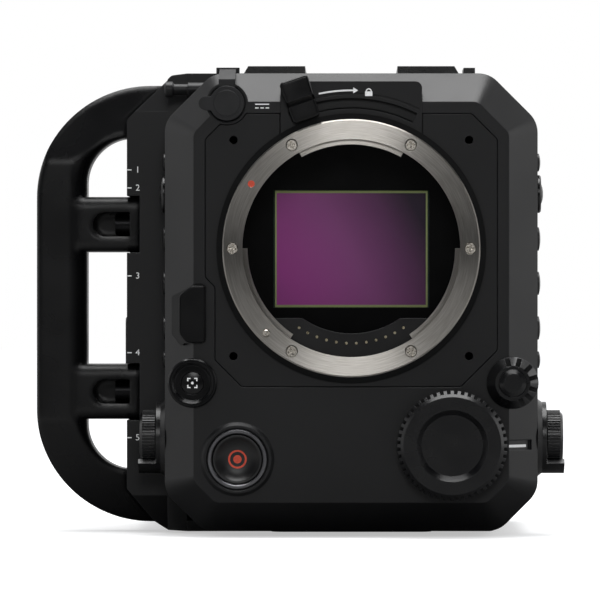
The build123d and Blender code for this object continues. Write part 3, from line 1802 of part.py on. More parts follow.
with BuildPart() as handle_frame:
    add(handle_bar)
    add(handle_arms.part)
    # Slots in the arms that show the captive screws
    for height in arm_heights:
        slot_round = arm_slot_left + arm_slot_height / 2
        with BuildSketch(facing(handle_front)):
            with Locations((slot_round, height)):
                Circle(arm_slot_height / 2)
            with Locations(((slot_round + arm_slot_right) / 2, height)):
                Rectangle(arm_slot_right - slot_round, arm_slot_height)
        extrude(amount=-arm_slot_depth, mode=Mode.SUBTRACT)
        with BuildSketch(Plane.YZ.offset(arm_slot_right)):
            with Locations((handle_front + arm_slot_depth / 2, height)):
                Circle(handle_screw_shank)
        extrude(amount=arm_end_x - arm_slot_right, mode=Mode.SUBTRACT)
    # Trim the beam ends to the connector block that they bolt to
    with BuildSketch(facing(handle_front)):
        with BuildLine():
            Polyline(
                (io_cut_inner_x + trim_reach, io_cut_high + trim_reach),
                (io_cut_inner_x, io_cut_high),
                (io_left, io_cut_low),
                (io_left, handle_slope_top),
                (io_cut_inner_x + trim_reach, handle_slope_top),
                close=True,
            )
        make_face()
        with BuildLine():
            Polyline(
                (io_foot_inner_x + trim_reach, io_foot_low - trim_reach),
                (io_foot_inner_x, io_foot_low),
                (io_left, io_foot_high),
                (io_left, handle_slope_bottom - trim_over),
                (io_foot_inner_x + trim_reach, handle_slope_bottom - trim_over),
                close=True,
            )
        make_face()
    extrude(amount=-handle_depth, mode=Mode.SUBTRACT)
handle_frame.part.label = "handle_frame"
export_step(handle_frame.part, "parts/handle_frame.step")

with BuildPart() as handle_screws:
    for height in arm_heights:
        with BuildSketch(Plane.YZ.offset(arm_slot_right - handle_screw_head)):
            with Locations((handle_front + arm_slot_depth / 2, height)):
                Circle(handle_screw_radius)
        extrude(amount=handle_screw_head)
        with BuildSketch(Plane.YZ.offset(arm_slot_right)):
            with Locations((handle_front + arm_slot_depth / 2, height)):
                Circle(handle_screw_shank)
        extrude(amount=arm_end_x - arm_slot_right + handle_screw_grip)
handle_screws.part.label = "handle_screws"
export_step(handle_screws.part, "parts/handle_screws.step")

# Two mounting pads on the top and a small stop beside them
with BuildPart() as top_pads:
    for side in (-1, 1):
        with BuildSketch(facing(pad_front)):
            with BuildLine():
                Polyline(
                    (side * pad_inner_x, rear_top),
                    (side * pad_outer_x, rear_top),
                    (side * (pad_outer_x - pad_end_slant), rear_top + pad_height),
                    (side * pad_inner_x, rear_top + pad_height),
                    close=True,
                )
            make_face()
        extrude(amount=-pad_length)
    with BuildSketch(Plane.XY.offset(rear_top)):
        with Locations((stop_x, pad_front + stop_length / 2)):
            Rectangle(stop_width, stop_length)
    extrude(amount=stop_height)
    with BuildSketch(Plane.XY.offset(rear_top + pad_height)):
        with Locations(*top_threads):
            Circle(top_thread_radius)
    extrude(amount=-pad_height, mode=Mode.SUBTRACT)
top_pads.part.label = "top_pads"
export_step(top_pads.part, "parts/top_pads.step")

with BuildPart() as base_plate:
    with BuildSketch(Plane.XY.offset(rear_bottom - base_proud)):
        with Locations((0, base_front + base_length / 2)):
            RectangleRounded(2 * base_half_width, base_length, base_corner)
        with Locations((0, tripod_small_y)):
            Circle(tripod_small_radius, mode=Mode.SUBTRACT)
        with Locations((0, tripod_large_y)):
            Circle(tripod_large_radius, mode=Mode.SUBTRACT)
    extrude(amount=base_thickness)
base_plate.part.label = "base_plate"
export_step(base_plate.part, "parts/base_plate.step")

# Battery plate with a pair of undercut rails, and its sliding latch
with BuildPart() as battery_plate:
    with BuildSketch(facing(rear_back)):
        with Locations((0, (plate_top + plate_bottom) / 2)):
            RectangleRounded(2 * plate_half_width, plate_top - plate_bottom, plate_corner)
    extrude(amount=-plate_thickness)
    with BuildSketch(Plane.XY.offset(rail_bottom)):
        for side in (-1, 1):
            with BuildLine():
                Polyline(
                    (side * rail_outer_x, rear_back + plate_thickness),
                    (side * rail_outer_x, rear_back + plate_thickness + rail_height),
                    (side * (rail_inner_x - rail_lip), rear_back + plate_thickness + rail_height),
                    (side * rail_inner_x, rear_back + plate_thickness),
                    close=True,
                )
            make_face()
    extrude(amount=rail_top - rail_bottom)
    with BuildSketch(facing(rear_back + plate_thickness)):
        with Locations((latch_x, latch_z - latch_travel / 2)):
            Rectangle(latch_width / 2 + 2 * seam_gap, latch_height / 2 + latch_travel + 2 * seam_gap)
    extrude(amount=plate_thickness / 2, mode=Mode.SUBTRACT)
battery_plate.part.label = "battery_plate"
export_step(battery_plate.part, "parts/battery_plate.step")

latch_back = rear_back + plate_thickness
with BuildPart() as battery_latch:
    with BuildSketch(facing(latch_back + seam_gap)):
        with Locations((latch_x, latch_z)):
            RectangleRounded(latch_width, latch_height, latch_corner)
    extrude(amount=-latch_proud)
    with BuildSketch(facing(latch_back + seam_gap)):
        with Locations((latch_x, latch_z)):
            Rectangle(latch_width / 2, latch_height / 2)
    extrude(amount=plate_thickness / 2)
battery_latch.part.label = "battery_latch"
export_step(battery_latch.part, "parts/battery_latch.step")

# Heat sink behind the sensor board, main board near the back wall
sink_front = chip_back + sensor_board_thickness
with BuildPart() as heat_sink:
    with BuildSketch(facing(sink_front)):
        with Locations((0, (sink_top + sink_bottom) / 2)):
            Rectangle(2 * sink_half_width, sink_top - sink_bottom)
    extrude(amount=-sink_base)
    with BuildSketch(facing(sink_front + sink_base)):
        with Locations((0, (sink_top + sink_bottom) / 2)):
            with GridLocations(2 * (sink_half_width - 2) / (sink_fins - 1), 1, sink_fins, 1):
                Rectangle(sink_fin_thickness, sink_top - sink_bottom)
    extrude(amount=-sink_fin_length)
heat_sink.part.label = "heat_sink"
export_step(heat_sink.part, "parts/heat_sink.step")

board_back = rear_back - rear_wall - board_gap
with BuildPart() as main_board:
    with BuildSketch(facing(board_back - board_thickness)):
        with Locations((0, (board_top + board_bottom) / 2)):
            Rectangle(2 * board_half_width, board_top - board_bottom)
    extrude(amount=-board_thickness)
    with BuildSketch(facing(board_back - board_thickness)):
        with GridLocations(1, processor_pitch, 1, 2):
            Rectangle(processor_size, processor_size)
    extrude(amount=processor_height)
main_board.part.label = "main_board"
export_step(main_board.part, "parts/main_board.step")

# Fan behind the vent slots, turning on a pin in its frame
fan_outer_x = rear_right - rear_wall
fan_inner_x = fan_outer_x - fan_thickness
fan_web = 1.5
with BuildPart() as fan_frame:
    with BuildSketch(Plane.YZ.offset(fan_inner_x)):
        with Locations((fan_y, fan_z)):
            RectangleRounded(2 * fan_half_size, 2 * fan_half_size, fan_corner)
            Circle(fan_bore, mode=Mode.SUBTRACT)
    extrude(amount=fan_thickness)
    with BuildSketch(Plane.YZ.offset(fan_inner_x)):
        with Locations((fan_y, fan_z)):
            Circle(fan_hub_radius)
            with PolarLocations(fan_bore / 2, fan_spokes):
                Rectangle(fan_bore + fan_corner, fan_spoke_width)
    extrude(amount=fan_web)
    with BuildSketch(Plane.YZ.offset(fan_inner_x)):
        with Locations((fan_y, fan_z)):
            Circle(fan_pin_radius)
    extrude(amount=fan_thickness - fan_web)
fan_frame.part.label = "fan_frame"
export_step(fan_frame.part, "parts/fan_frame.step")

rotor_x = fan_inner_x + fan_web + running_gap
rotor_length = fan_thickness - 2 * fan_web - running_gap
with BuildPart() as fan_rotor:
    with BuildSketch(Plane.YZ.offset(rotor_x)):
        with Locations((fan_y, fan_z)):
            Circle(fan_hub_radius)
    extrude(amount=rotor_length)
    with BuildSketch(Plane.YZ.offset(rotor_x)):
        blade_reach = fan_bore - fan_tip_gap
        with Locations((fan_y, fan_z)):
            with PolarLocations((blade_reach + fan_hub_radius - fan_blade_root) / 2, fan_blades):
                Rectangle(
                    blade_reach - fan_hub_radius + fan_blade_root,
                    fan_blade_thickness,
                    rotation=fan_blade_lean,
                )
    extrude(amount=rotor_length)
    with BuildSketch(Plane.YZ.offset(rotor_x)):
        with Locations((fan_y, fan_z)):
            Circle(fan_pin_radius + shaft_clearance)
    extrude(amount=rotor_length, mode=Mode.SUBTRACT)
fan_rotor.part.label = "fan_rotor"
export_step(fan_rotor.part, "parts/fan_rotor.step")

with BuildPart() as status_display:
    with BuildSketch(Plane.YZ.offset(rear_right - display_inset)):
        with Locations((display_y, display_z)):
            Rectangle(display_length, display_top - display_bottom)
    extrude(amount=-display_thickness)
status_display.part.label = "status_display"
export_step(status_display.part, "parts/status_display.step")

with BuildPart() as card_door:
    with BuildSketch(Plane.YZ.offset(rear_right)):
        with Locations((door_y, door_z)):
            RectangleRounded(
                door_length - 2 * seam_gap, door_top - door_bottom - 2 * seam_gap, door_corner
            )
    extrude(amount=-door_thickness)
    # Finger recess at the front edge
    with BuildSketch(Plane.YZ.offset(rear_right)):
        with Locations((door_front + door_grip_margin, door_z)):
            SlotOverall(door_grip_length, door_grip_width, rotation=90)
    extrude(amount=-door_thickness / 2, mode=Mode.SUBTRACT)
card_door.part.label = "card_door"
export_step(card_door.part, "parts/card_door.step")

card_cage_wall = 1.0
card_cage_length = 26.0
with BuildPart() as card_cages:
    with BuildSketch(Plane.YZ.offset(rear_right - rear_wall)):
        with Locations((door_y, door_z)):
            Rectangle(
                slot_pitch + slot_width + 2 * card_cage_wall, slot_height + 2 * card_cage_wall
            )
    extrude(amount=-card_cage_length)
    with BuildSketch(Plane.YZ.offset(rear_right - rear_wall)):
        with Locations((door_y, door_z)):
            with GridLocations(slot_pitch, 1, 2, 1):
                Rectangle(slot_width, slot_height)
    extrude(amount=-(card_cage_length - card_cage_wall), mode=Mode.SUBTRACT)
card_cages.part.label = "card_cages"
export_step(card_cages.part, "parts/card_cages.step")
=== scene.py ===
import math

import bmesh
import bpy
from mathutils import Matrix, Vector


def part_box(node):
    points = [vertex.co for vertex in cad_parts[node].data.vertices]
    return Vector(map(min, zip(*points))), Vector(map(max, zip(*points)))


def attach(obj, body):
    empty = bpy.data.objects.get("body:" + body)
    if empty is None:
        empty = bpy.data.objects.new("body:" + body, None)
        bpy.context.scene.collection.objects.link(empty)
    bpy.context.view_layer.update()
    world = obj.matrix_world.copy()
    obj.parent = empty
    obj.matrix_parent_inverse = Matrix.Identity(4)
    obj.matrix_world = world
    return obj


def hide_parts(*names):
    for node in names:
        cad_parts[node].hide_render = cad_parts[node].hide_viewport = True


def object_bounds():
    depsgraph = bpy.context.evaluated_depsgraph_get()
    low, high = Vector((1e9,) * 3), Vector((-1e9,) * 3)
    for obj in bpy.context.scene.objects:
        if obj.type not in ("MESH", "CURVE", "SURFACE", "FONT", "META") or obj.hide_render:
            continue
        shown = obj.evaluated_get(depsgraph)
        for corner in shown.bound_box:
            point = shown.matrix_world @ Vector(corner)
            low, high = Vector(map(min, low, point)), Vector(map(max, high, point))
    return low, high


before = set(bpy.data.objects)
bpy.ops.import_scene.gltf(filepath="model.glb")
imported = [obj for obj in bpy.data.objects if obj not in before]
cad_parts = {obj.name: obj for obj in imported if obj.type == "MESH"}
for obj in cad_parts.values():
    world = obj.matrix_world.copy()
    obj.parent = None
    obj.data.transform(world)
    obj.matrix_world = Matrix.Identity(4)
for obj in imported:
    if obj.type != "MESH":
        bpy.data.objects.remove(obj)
cadBounds = [list(corner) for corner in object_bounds()]
print("frame loaded")

mm = 0.001
mergeReach = 0.001 * mm
scene = bpy.context.scene


# Colours are written as a screen shows them and turned to linear light here
def linear(hexColour):
    channels = [int(hexColour[i:i + 2], 16) / 255 for i in (1, 3, 5)]
    return [c / 12.92 if c <= 0.04045 else ((c + 0.055) / 1.055) ** 2.4 for c in channels] + [1.0]


# Adds one node with its settings, a colour ramp's stops among them. An input is
# named, or i0, i1 by its place, and holds a value or a link, (node, output)
def addNode(tree, kind, settings=None, **inputs):
    node = tree.nodes.new(kind)
    for name, value in (settings or {}).items():
        if name != "stops":
            setattr(node, name, value)
            continue
        elements = node.color_ramp.elements
        while len(elements) < len(value):
            elements.new(0.5)
        for element, (position, colour) in zip(elements, value):
            element.position = position
            element.color = linear(colour)
    for name, value in inputs.items():
        key = int(name[1:]) if name[0] == "i" and name[1:].isdigit() else name.replace("_", " ")
        if isinstance(value, tuple) and isinstance(value[0], bpy.types.Node):
            tree.links.new(value[0].outputs[value[1]], node.inputs[key])
        else:
            node.inputs[key].default_value = value
    return node


# A material starts with the place of each point and ends with its shader
def newMaterial(name):
    material = bpy.data.materials.new(name)
    material.use_nodes = True
    tree = material.node_tree
    tree.nodes.clear()
    return material, tree, addNode(tree, "ShaderNodeTexCoord")


def endMaterial(tree, **inputs):
    shader = addNode(tree, "ShaderNodeBsdfPrincipled", None, **inputs)
    addNode(tree, "ShaderNodeOutputMaterial", None, Surface=(shader, "BSDF"))


# Coated, moulded and anodised surfaces are built alike: a base colour that
# drifts a little, a grain of a real size, softly broken edges that catch light
def grainedFinish(name, finish):
    roughSwing, grainHeight = 0.04, 0.04
    material, tree, place = newMaterial(name)
    cloud = addNode(
        tree, "ShaderNodeTexNoise", None,
        Vector=(place, "Object"), Scale=1 / (finish["cloudSize"] * mm), Detail=3.0,
    )
    tone = addNode(
        tree, "ShaderNodeValToRGB", {"stops": [(0.35, finish["dark"]), (0.65, finish["light"])]},
        Fac=(cloud, "Fac"),
    )
    sheen = addNode(
        tree, "ShaderNodeMapRange", None, Value=(cloud, "Fac"), From_Min=0.3, From_Max=0.7,
        To_Min=finish["rough"] - roughSwing, To_Max=finish["rough"] + roughSwing,
    )
    edge = addNode(tree, "ShaderNodeBevel", {"samples": 6}, Radius=finish["edge"] * mm)
    flat = addNode(tree, "ShaderNodeNewGeometry")
    likeness = addNode(
        tree, "ShaderNodeVectorMath", {"operation": "DOT_PRODUCT"},
        i0=(edge, "Normal"), i1=(flat, "Normal"),
    )
    # Wear starts where a broken edge leans 6 degrees and is full at 22 degrees
    # On the silicone rubber this lighter edge is also a painted highlight
    rubbed = addNode(
        tree, "ShaderNodeMapRange", None, Value=(likeness, "Value"),
        From_Min=0.995, From_Max=0.93, To_Max=finish.get("wear", 0.35),
    )
    worn = addNode(
        tree, "ShaderNodeMix", {"data_type": "RGBA"},
        i0=(rubbed, "Result"), i6=(tone, "Color"), i7=linear(finish.get("worn", "#3a3a3c")),
    )
    grain = addNode(
        tree, "ShaderNodeTexNoise", None,
        Vector=(place, "Object"), Scale=1 / (finish["grainSize"] * mm), Detail=2.0,
    )
    bump = addNode(
        tree, "ShaderNodeBump", None,
        Strength=finish["grainDepth"], Distance=grainHeight * mm,
        Height=(grain, "Fac"), Normal=(edge, "Normal"),
    )
    body = {"Metallic": 1.0} if finish.get("metallic") else {
        "IOR": finish["ior"], "Specular_IOR_Level": finish.get("gloss", 0.5),
    }
    endMaterial(
        tree, Base_Color=(worn, 2), Roughness=(sheen, "Result"), Normal=(bump, "Normal"), **body,
    )
    return material


# Powder-coated cast magnesium: satin black, a fine pebble, drifts of sheen
powderCoat = grainedFinish("powderCoatedMagnesium", {
    "dark": "#101011", "light": "#141415", "cloudSize": 30, "grainSize": 0.3,
    "grainDepth": 0.3, "rough": 0.4, "edge": 0.4, "ior": 1.5, "gloss": 0.4,
})
# The same coat on the flat panel and the track plate, thinner and flatter
panelCoat = grainedFinish("powderCoatedPanel", {
    "dark": "#0f0f10", "light": "#131314", "cloudSize": 25, "grainSize": 0.25,
    "grainDepth": 0.25, "rough": 0.42, "edge": 0.15, "ior": 1.5, "wear": 0.15, "gloss": 0.38,
})
# The handle is painted aluminium: deeper black and smoother, polished by hands
handleCoat = grainedFinish("paintedHandleAluminium", {
    "dark": "#060607", "light": "#09090a", "cloudSize": 18, "grainSize": 0.35,
    "grainDepth": 0.1, "rough": 0.28, "edge": 2.8, "ior": 1.5, "wear": 0.0, "gloss": 0.42,
})
# Turned aluminium, black anodised: dark with a tighter shine
blackAnodised = grainedFinish("blackAnodisedAluminium", {
    "dark": "#08080a", "light": "#0c0c0d", "cloudSize": 12, "grainSize": 0.2,
    "grainDepth": 0.12, "rough": 0.27, "edge": 0.2, "ior": 1.6, "gloss": 0.4,
})
# Grey anodised bezel that rings the record button
greyAnodised = grainedFinish("greyAnodisedAluminium", {
    "dark": "#6c6c6f", "light": "#7d7d80", "cloudSize": 8, "grainSize": 0.2,
    "grainDepth": 0.1, "rough": 0.34, "edge": 0.12, "metallic": True, "worn": "#8a8a8c",
})
# Moulded polycarbonate keys, satin, with a spark-eroded texture
mouldedKey = grainedFinish("mouldedPolycarbonate", {
    "dark": "#09090a", "light": "#0d0d0e", "cloudSize": 9, "grainSize": 0.22,
    "grainDepth": 0.15, "rough": 0.33, "edge": 0.25, "ior": 1.58, "wear": 0.2, "gloss": 0.4,
})
# The record cap is smoother, so its dish gathers light at its lower side
dishedKey = grainedFinish("dishedPolycarbonate", {
    "dark": "#09090a", "light": "#0d0d0e", "cloudSize": 9, "grainSize": 0.22,
    "grainDepth": 0.08, "rough": 0.4, "edge": 0.25, "ior": 1.58, "wear": 0.2, "gloss": 0.6,
})
# Moulded silicone rubber: deep black, with soft edges painted lighter where rubbed, wear that also
# serves as a painted highlight
siliconeRubber = grainedFinish("mouldedSiliconeRubber", {
    "dark": "#050506", "light": "#080809", "cloudSize": 6, "grainSize": 0.35,
    "grainDepth": 0.12, "rough": 0.34, "edge": 0.25, "ior": 1.42, "wear": 0.12, "gloss": 0.3,
})
# The outlet cap's rubber is older and greyer, with a faint bloom
bloomedRubber = grainedFinish("bloomedSiliconeRubber", {
    "dark": "#19191a", "light": "#202021", "cloudSize": 5, "grainSize": 0.35,
    "grainDepth": 0.25, "rough": 0.45, "edge": 0.4, "ior": 1.42, "wear": 0.4, "gloss": 0.5,
})
# Black-varnished trim and lever: deep black with a crisp line of light
glossBlack = grainedFinish("varnishedBlackAluminium", {
    "dark": "#050506", "light": "#080809", "cloudSize": 10, "grainSize": 0.25,
    "grainDepth": 0.08, "rough": 0.22, "edge": 0.3, "ior": 1.5, "wear": 0.2, "gloss": 0.35,
})
# Flocked matt black that swallows stray light in the throat
lightTrap = grainedFinish("mattBlackLightTrap", {
    "dark": "#0b0b0b", "light": "#101010", "cloudSize": 8, "grainSize": 0.4,
    "grainDepth": 0.6, "rough": 0.8, "edge": 0.1, "ior": 1.35, "wear": 0.1, "worn": "#1a1a1a",
    "gloss": 0.3,
})
# Bead-blasted bare aluminium inside: pale grey, evenly dull
blastedAluminium = grainedFinish("beadBlastedAluminium", {
    "dark": "#9a9b9d", "light": "#a9aaac", "cloudSize": 10, "grainSize": 0.2,
    "grainDepth": 0.3, "rough": 0.5, "edge": 0.2, "metallic": True, "worn": "#c4c5c7",
})


# Stainless steel brushed in circles: light gathers in two fans, top and bottom.
# Its streaks are drawn wider than real ones, so that they show
def makeBrushedSteel():
    brush = {
        "streak": 0.16, "turnScale": 6.0, "rough": 0.36, "roughSwing": 0.05, "dark": "#beb9b1",
        "light": "#e2ded8", "stretch": 0.99, "rotation": 0.25, "edge": 0.12, "depth": 0.02,
    }
    material, tree, place = newMaterial("circularBrushedSteel")
    parts = addNode(tree, "ShaderNodeSeparateXYZ", None, Vector=(place, "Object"))
    across = addNode(tree, "ShaderNodeCombineXYZ", None, X=(parts, "X"), Y=(parts, "Z"))
    radius = addNode(tree, "ShaderNodeVectorMath", {"operation": "LENGTH"}, i0=(across, "Vector"))
    rings = addNode(
        tree, "ShaderNodeMath", {"operation": "MULTIPLY"},
        i0=(radius, "Value"), i1=1 / (brush["streak"] * mm),
    )
    # Longer along the circle than across it, and closed where the turn ends
    along = addNode(tree, "ShaderNodeVectorMath", {"operation": "NORMALIZE"}, i0=(across, "Vector"))
    drawn = addNode(
        tree, "ShaderNodeVectorMath", {"operation": "SCALE"},
        i0=(along, "Vector"), Scale=brush["turnScale"],
    )
    turned = addNode(tree, "ShaderNodeSeparateXYZ", None, Vector=(drawn, "Vector"))
    polar = addNode(
        tree, "ShaderNodeCombineXYZ", None,
        X=(rings, "Value"), Y=(turned, "X"), Z=(turned, "Y"),
    )
    streaks = addNode(
        tree, "ShaderNodeTexNoise", None, Vector=(polar, "Vector"), Scale=1.0, Detail=4.0,
    )
    tone = addNode(
        tree, "ShaderNodeValToRGB", {"stops": [(0.3, brush["dark"]), (0.7, brush["light"])]},
        Fac=(streaks, "Fac"),
    )
    rough = addNode(
        tree, "ShaderNodeMapRange", None, Value=(streaks, "Fac"), From_Min=0.3, From_Max=0.7,
        To_Min=brush["rough"] - brush["roughSwing"], To_Max=brush["rough"] + brush["roughSwing"],
    )
    tangent = addNode(tree, "ShaderNodeTangent", {"direction_type": "RADIAL", "axis": "Y"})
    edge = addNode(tree, "ShaderNodeBevel", {"samples": 4}, Radius=brush["edge"] * mm)
    bump = addNode(
        tree, "ShaderNodeBump", None,
        Strength=0.12, Distance=brush["depth"] * mm,
        Height=(streaks, "Fac"), Normal=(edge, "Normal"),
    )
    endMaterial(
        tree, Base_Color=(tone, "Color"), Roughness=(rough, "Result"), Normal=(bump, "Normal"),
        Tangent=(tangent, "Tangent"), Metallic=1.0, Anisotropic=brush["stretch"],
        Anisotropic_Rotation=brush["rotation"],
    )
    return material


brushedSteel = makeBrushedSteel()


# Small metal, glass and ink are built alike: fine marks that shift the colour
# and often the shine. Marks are counted in a metre
def markedFinish(name, finish, **inputs):
    material, tree, place = newMaterial(name)
    marks = addNode(
        tree, "ShaderNodeTexNoise", None,
        Vector=(place, "Object"), Scale=finish["marks"], Detail=finish["detail"],
    )
    tone = addNode(
        tree, "ShaderNodeValToRGB", {"stops": [(0.3, finish["dark"]), (0.7, finish["light"])]},
        Fac=(marks, "Fac"),
    )
    if "shine" in finish:
        smooth, rough = finish["shine"]
        shine = addNode(
            tree, "ShaderNodeMapRange", None, Value=(marks, "Fac"),
            From_Min=0.3, From_Max=0.7, To_Min=smooth, To_Max=rough,
        )
        inputs["Roughness"] = (shine, "Result")
    if "edge" in finish:
        edge = addNode(tree, "ShaderNodeBevel", {"samples": 4}, Radius=finish["edge"] * mm)
        inputs["Normal"] = (edge, "Normal")
    endMaterial(tree, Base_Color=(tone, "Color"), **inputs)
    return material


# Turned or plated metal, with faint tool marks
metal = {"marks": 2500.0, "detail": 2.0, "shine": (0.25, 0.35), "edge": 0.08}
screwSteel = markedFinish(
    "passivatedScrewSteel", {**metal, "dark": "#cdc6ba", "light": "#efe9df"}, Metallic=1.0,
)
blackenedSteel = markedFinish(
    "blackenedScrewSteel",
    {**metal, "dark": "#1c1c1d", "light": "#2a2a2b", "shine": (0.29, 0.39)}, Metallic=1.0,
)
goldPlate = markedFinish(
    "goldPlatedBrass", {**metal, "dark": "#b3a582", "light": "#d6cbb0"}, Metallic=1.0,
)
# Flat glass with faint wipe marks: the coated filter lets most light through,
# the display glass is bonded to black
glass = {"marks": 90.0, "detail": 3.0}
filterGlass = markedFinish(
    "coatedFilterGlass",
    {**glass, "dark": "#2a2a33", "light": "#31303a", "shine": (0.03, 0.07)}, Alpha=0.1, IOR=1.5,
)
displayGlass = markedFinish(
    "bondedDisplayGlass",
    {**glass, "dark": "#070709", "light": "#0a0a0c", "shine": (0.05, 0.09)}, IOR=1.5,
)
# Pad-printed ink, a touch uneven, as it lies on the coat
ink = {"marks": 1800.0, "detail": 3.0}
whiteInk = markedFinish(
    "whitePadPrint", {**ink, "dark": "#e6e6e4", "light": "#f6f6f4"}, Roughness=0.5,
)
orangeInk = markedFinish(
    "orangeRedPadPrint", {**ink, "dark": "#c03c20", "light": "#d04a2c"}, Roughness=0.5,
)


# Silicon behind its filter stack, its colour a painted sheen: bright magenta at the lower left that
# sinks to painted shade, a dull violet, at the upper right, with a thin yellow-green painted glint
# along the rim where the coating ends. Its cells are drawn coarse
def makeSensorPaintedSheen():
    sensor = {
        "left": "#ca50b2", "middle": "#ac5a9e", "right": "#3c2b40", "rim": "#c2cf84",
        "halfWidth": 22.7, "halfHeight": 17.05, "glintWidth": 0.2, "cell": 0.3,
        "sheenSlant": 0.55, "from": -24.0, "to": 26.0, "middleAt": 0.45, "shine": (0.2, 0.26),
    }
    material, tree, place = newMaterial("siliconSensorPaintedSheen")
    parts = addNode(tree, "ShaderNodeSeparateXYZ", None, Vector=(place, "Object"))
    # The painted sheen and painted shade follow this slant: lightest at the lower left, darkest at
    # the upper right
    sheenSlant = addNode(
        tree, "ShaderNodeMath", {"operation": "MULTIPLY_ADD"},
        i0=(parts, "Z"), i1=sensor["sheenSlant"], i2=(parts, "X"),
    )
    share = addNode(
        tree, "ShaderNodeMapRange", None, Value=(sheenSlant, "Value"),
        From_Min=sensor["from"] * mm, From_Max=sensor["to"] * mm,
    )
    tone = addNode(
        tree, "ShaderNodeValToRGB", {"stops": [
            (0.0, sensor["left"]), (sensor["middleAt"], sensor["middle"]), (1.0, sensor["right"]),
        ]},
        Fac=(share, "Result"),
    )
    # A painted yellow-green glint along the rim, where the coating ends
    reaches = []
    for axis, half in (("X", sensor["halfWidth"]), ("Z", sensor["halfHeight"])):
        size = addNode(tree, "ShaderNodeMath", {"operation": "ABSOLUTE"}, i0=(parts, axis))
        reaches.append(addNode(
            tree, "ShaderNodeMapRange", None, Value=(size, "Value"),
            From_Min=(half - sensor["glintWidth"]) * mm, From_Max=half * mm,
        ))
    rim = addNode(
        tree, "ShaderNodeMath", {"operation": "MAXIMUM"},
        i0=(reaches[0], "Result"), i1=(reaches[1], "Result"),
    )
    glintEdged = addNode(
        tree, "ShaderNodeMix", {"data_type": "RGBA"},
        i0=(rim, "Value"), i6=(tone, "Color"), i7=linear(sensor["rim"]),
    )
    cells = addNode(
        tree, "ShaderNodeTexNoise", None,
        Vector=(place, "Object"), Scale=1 / (sensor["cell"] * mm), Detail=1.0,
    )
    shine = addNode(
        tree, "ShaderNodeMapRange", None, Value=(cells, "Fac"), From_Min=0.3, From_Max=0.7,
        To_Min=sensor["shine"][0], To_Max=sensor["shine"][1],
    )
    endMaterial(
        tree, Base_Color=(glintEdged, 2), Roughness=(shine, "Result"),
        Coat_Weight=0.3, Coat_Roughness=0.1,
    )
    return material


sensorPaintedSheen = makeSensorPaintedSheen()


# Glass-fibre board under green solder mask, with its copper showing faintly
def makeCircuitBoard():
    material, tree, place = newMaterial("greenSolderMask")
    tracks = addNode(
        tree, "ShaderNodeTexBrick", None, Vector=(place, "Object"), Scale=350.0,
        Color1=linear("#12402a"), Color2=linear("#174c32"), Mortar=linear("#2b6a47"),
    )
    endMaterial(tree, Base_Color=(tracks, "Color"), Roughness=0.35)
    return material


circuitBoard = makeCircuitBoard()
print("materials made")

finishes = {
    powderCoat: ["front_housing", "tape_hook", "rear_housing", "io_block"],
    panelCoat: ["mount_panel", "lever_plate"],
    handleCoat: ["handle_frame"],
    brushedSteel: ["mount_ring"],
    orangeInk: ["index_dot"],
    screwSteel: ["mount_screws", "lens_lock_pin"],
    blackenedSteel: ["handle_screws"],
    goldPlate: ["contact_pins"],
    greyAnodised: ["record_bezel"],
    blackAnodised: [
        "wheel_guards", "top_pads", "base_plate", "selector_ring", "selector_button",
        "front_dial", "left_jog_disc", "right_jog_disc", "left_wheel", "right_wheel",
    ],
    glossBlack: ["lock_lever", "assign_collar", "assign_button"],
    lightTrap: ["trim_ring", "mount_chassis", "baffle_frame"],
    filterGlass: ["sensor_glass"],
    sensorPaintedSheen: ["sensor_chip"],
    circuitBoard: ["sensor_board", "main_board"],
    displayGlass: ["status_display"],
    blastedAluminium: ["heat_sink", "card_cages"],
    bloomedRubber: ["strap_anchor", "outlet_cap"],
    siliconeRubber: ["port_cover", "io_cover"],
    mouldedKey: [
        "contact_block", "front_sockets", "io_sockets", "battery_plate", "fan_frame",
        "record_button", "card_door", "battery_latch", "fan_rotor",
    ] + [f"{side}_button_{number}" for side in ("left", "right") for number in range(1, 6)],
}
for material, nodes in finishes.items():
    for name in nodes:
        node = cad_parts[name]
        node.data.materials.clear()
        node.data.materials.append(material)
print("CAD nodes finished")


def meshObject(name, bm):
    mesh = bpy.data.meshes.new(name)
    bm.to_mesh(mesh)
    bm.free()
    return bpy.data.objects.new(name, mesh)


# A finished piece rides its body
def settle(piece, body):
    scene.collection.objects.link(piece)
    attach(piece, body)
    return piece


def meshPiece(name, bm, material, body):
    bmesh.ops.recalc_face_normals(bm, faces=bm.faces)
    piece = meshObject(name, bm)
    piece.data.materials.append(material)
    return settle(piece, body)


def turnsOf(sides):
    return [2 * math.pi * i / sides for i in range(sides)]


# A band of faces between two loops of points
def band(bm, near, far):
    for i in range(len(near)):
        j = (i + 1) % len(near)
        bm.faces.new([near[i], near[j], far[j], far[i]])


# A printed mark is a film, 0.04 mm on each side of its face. Its outlines are
# drawn flat in mm. A face says where a point (u, v) lies, and which way is out
film = 0.04


def printedMark(name, outlines, face, material, body):
    lay, out = face
    bm = bmesh.new()
    lift = Vector(out) * film
    for outline in outlines:
        front = [bm.verts.new((Vector(lay(u, v)) + lift) * mm) for u, v in outline]
        back = [bm.verts.new((Vector(lay(u, v)) - lift) * mm) for u, v in outline]
        bm.faces.new(front)
        bm.faces.new(list(reversed(back)))
        band(bm, back, front)
    return meshPiece(name, bm, material, body)


def bar(x1, z1, x2, z2, width):
    run = Vector((x2 - x1, z2 - z1)).normalized() * width / 2
    return [
        (x1 + run.y, z1 - run.x), (x2 + run.y, z2 - run.x),
        (x2 - run.y, z2 + run.x), (x1 - run.y, z1 + run.x),
    ]


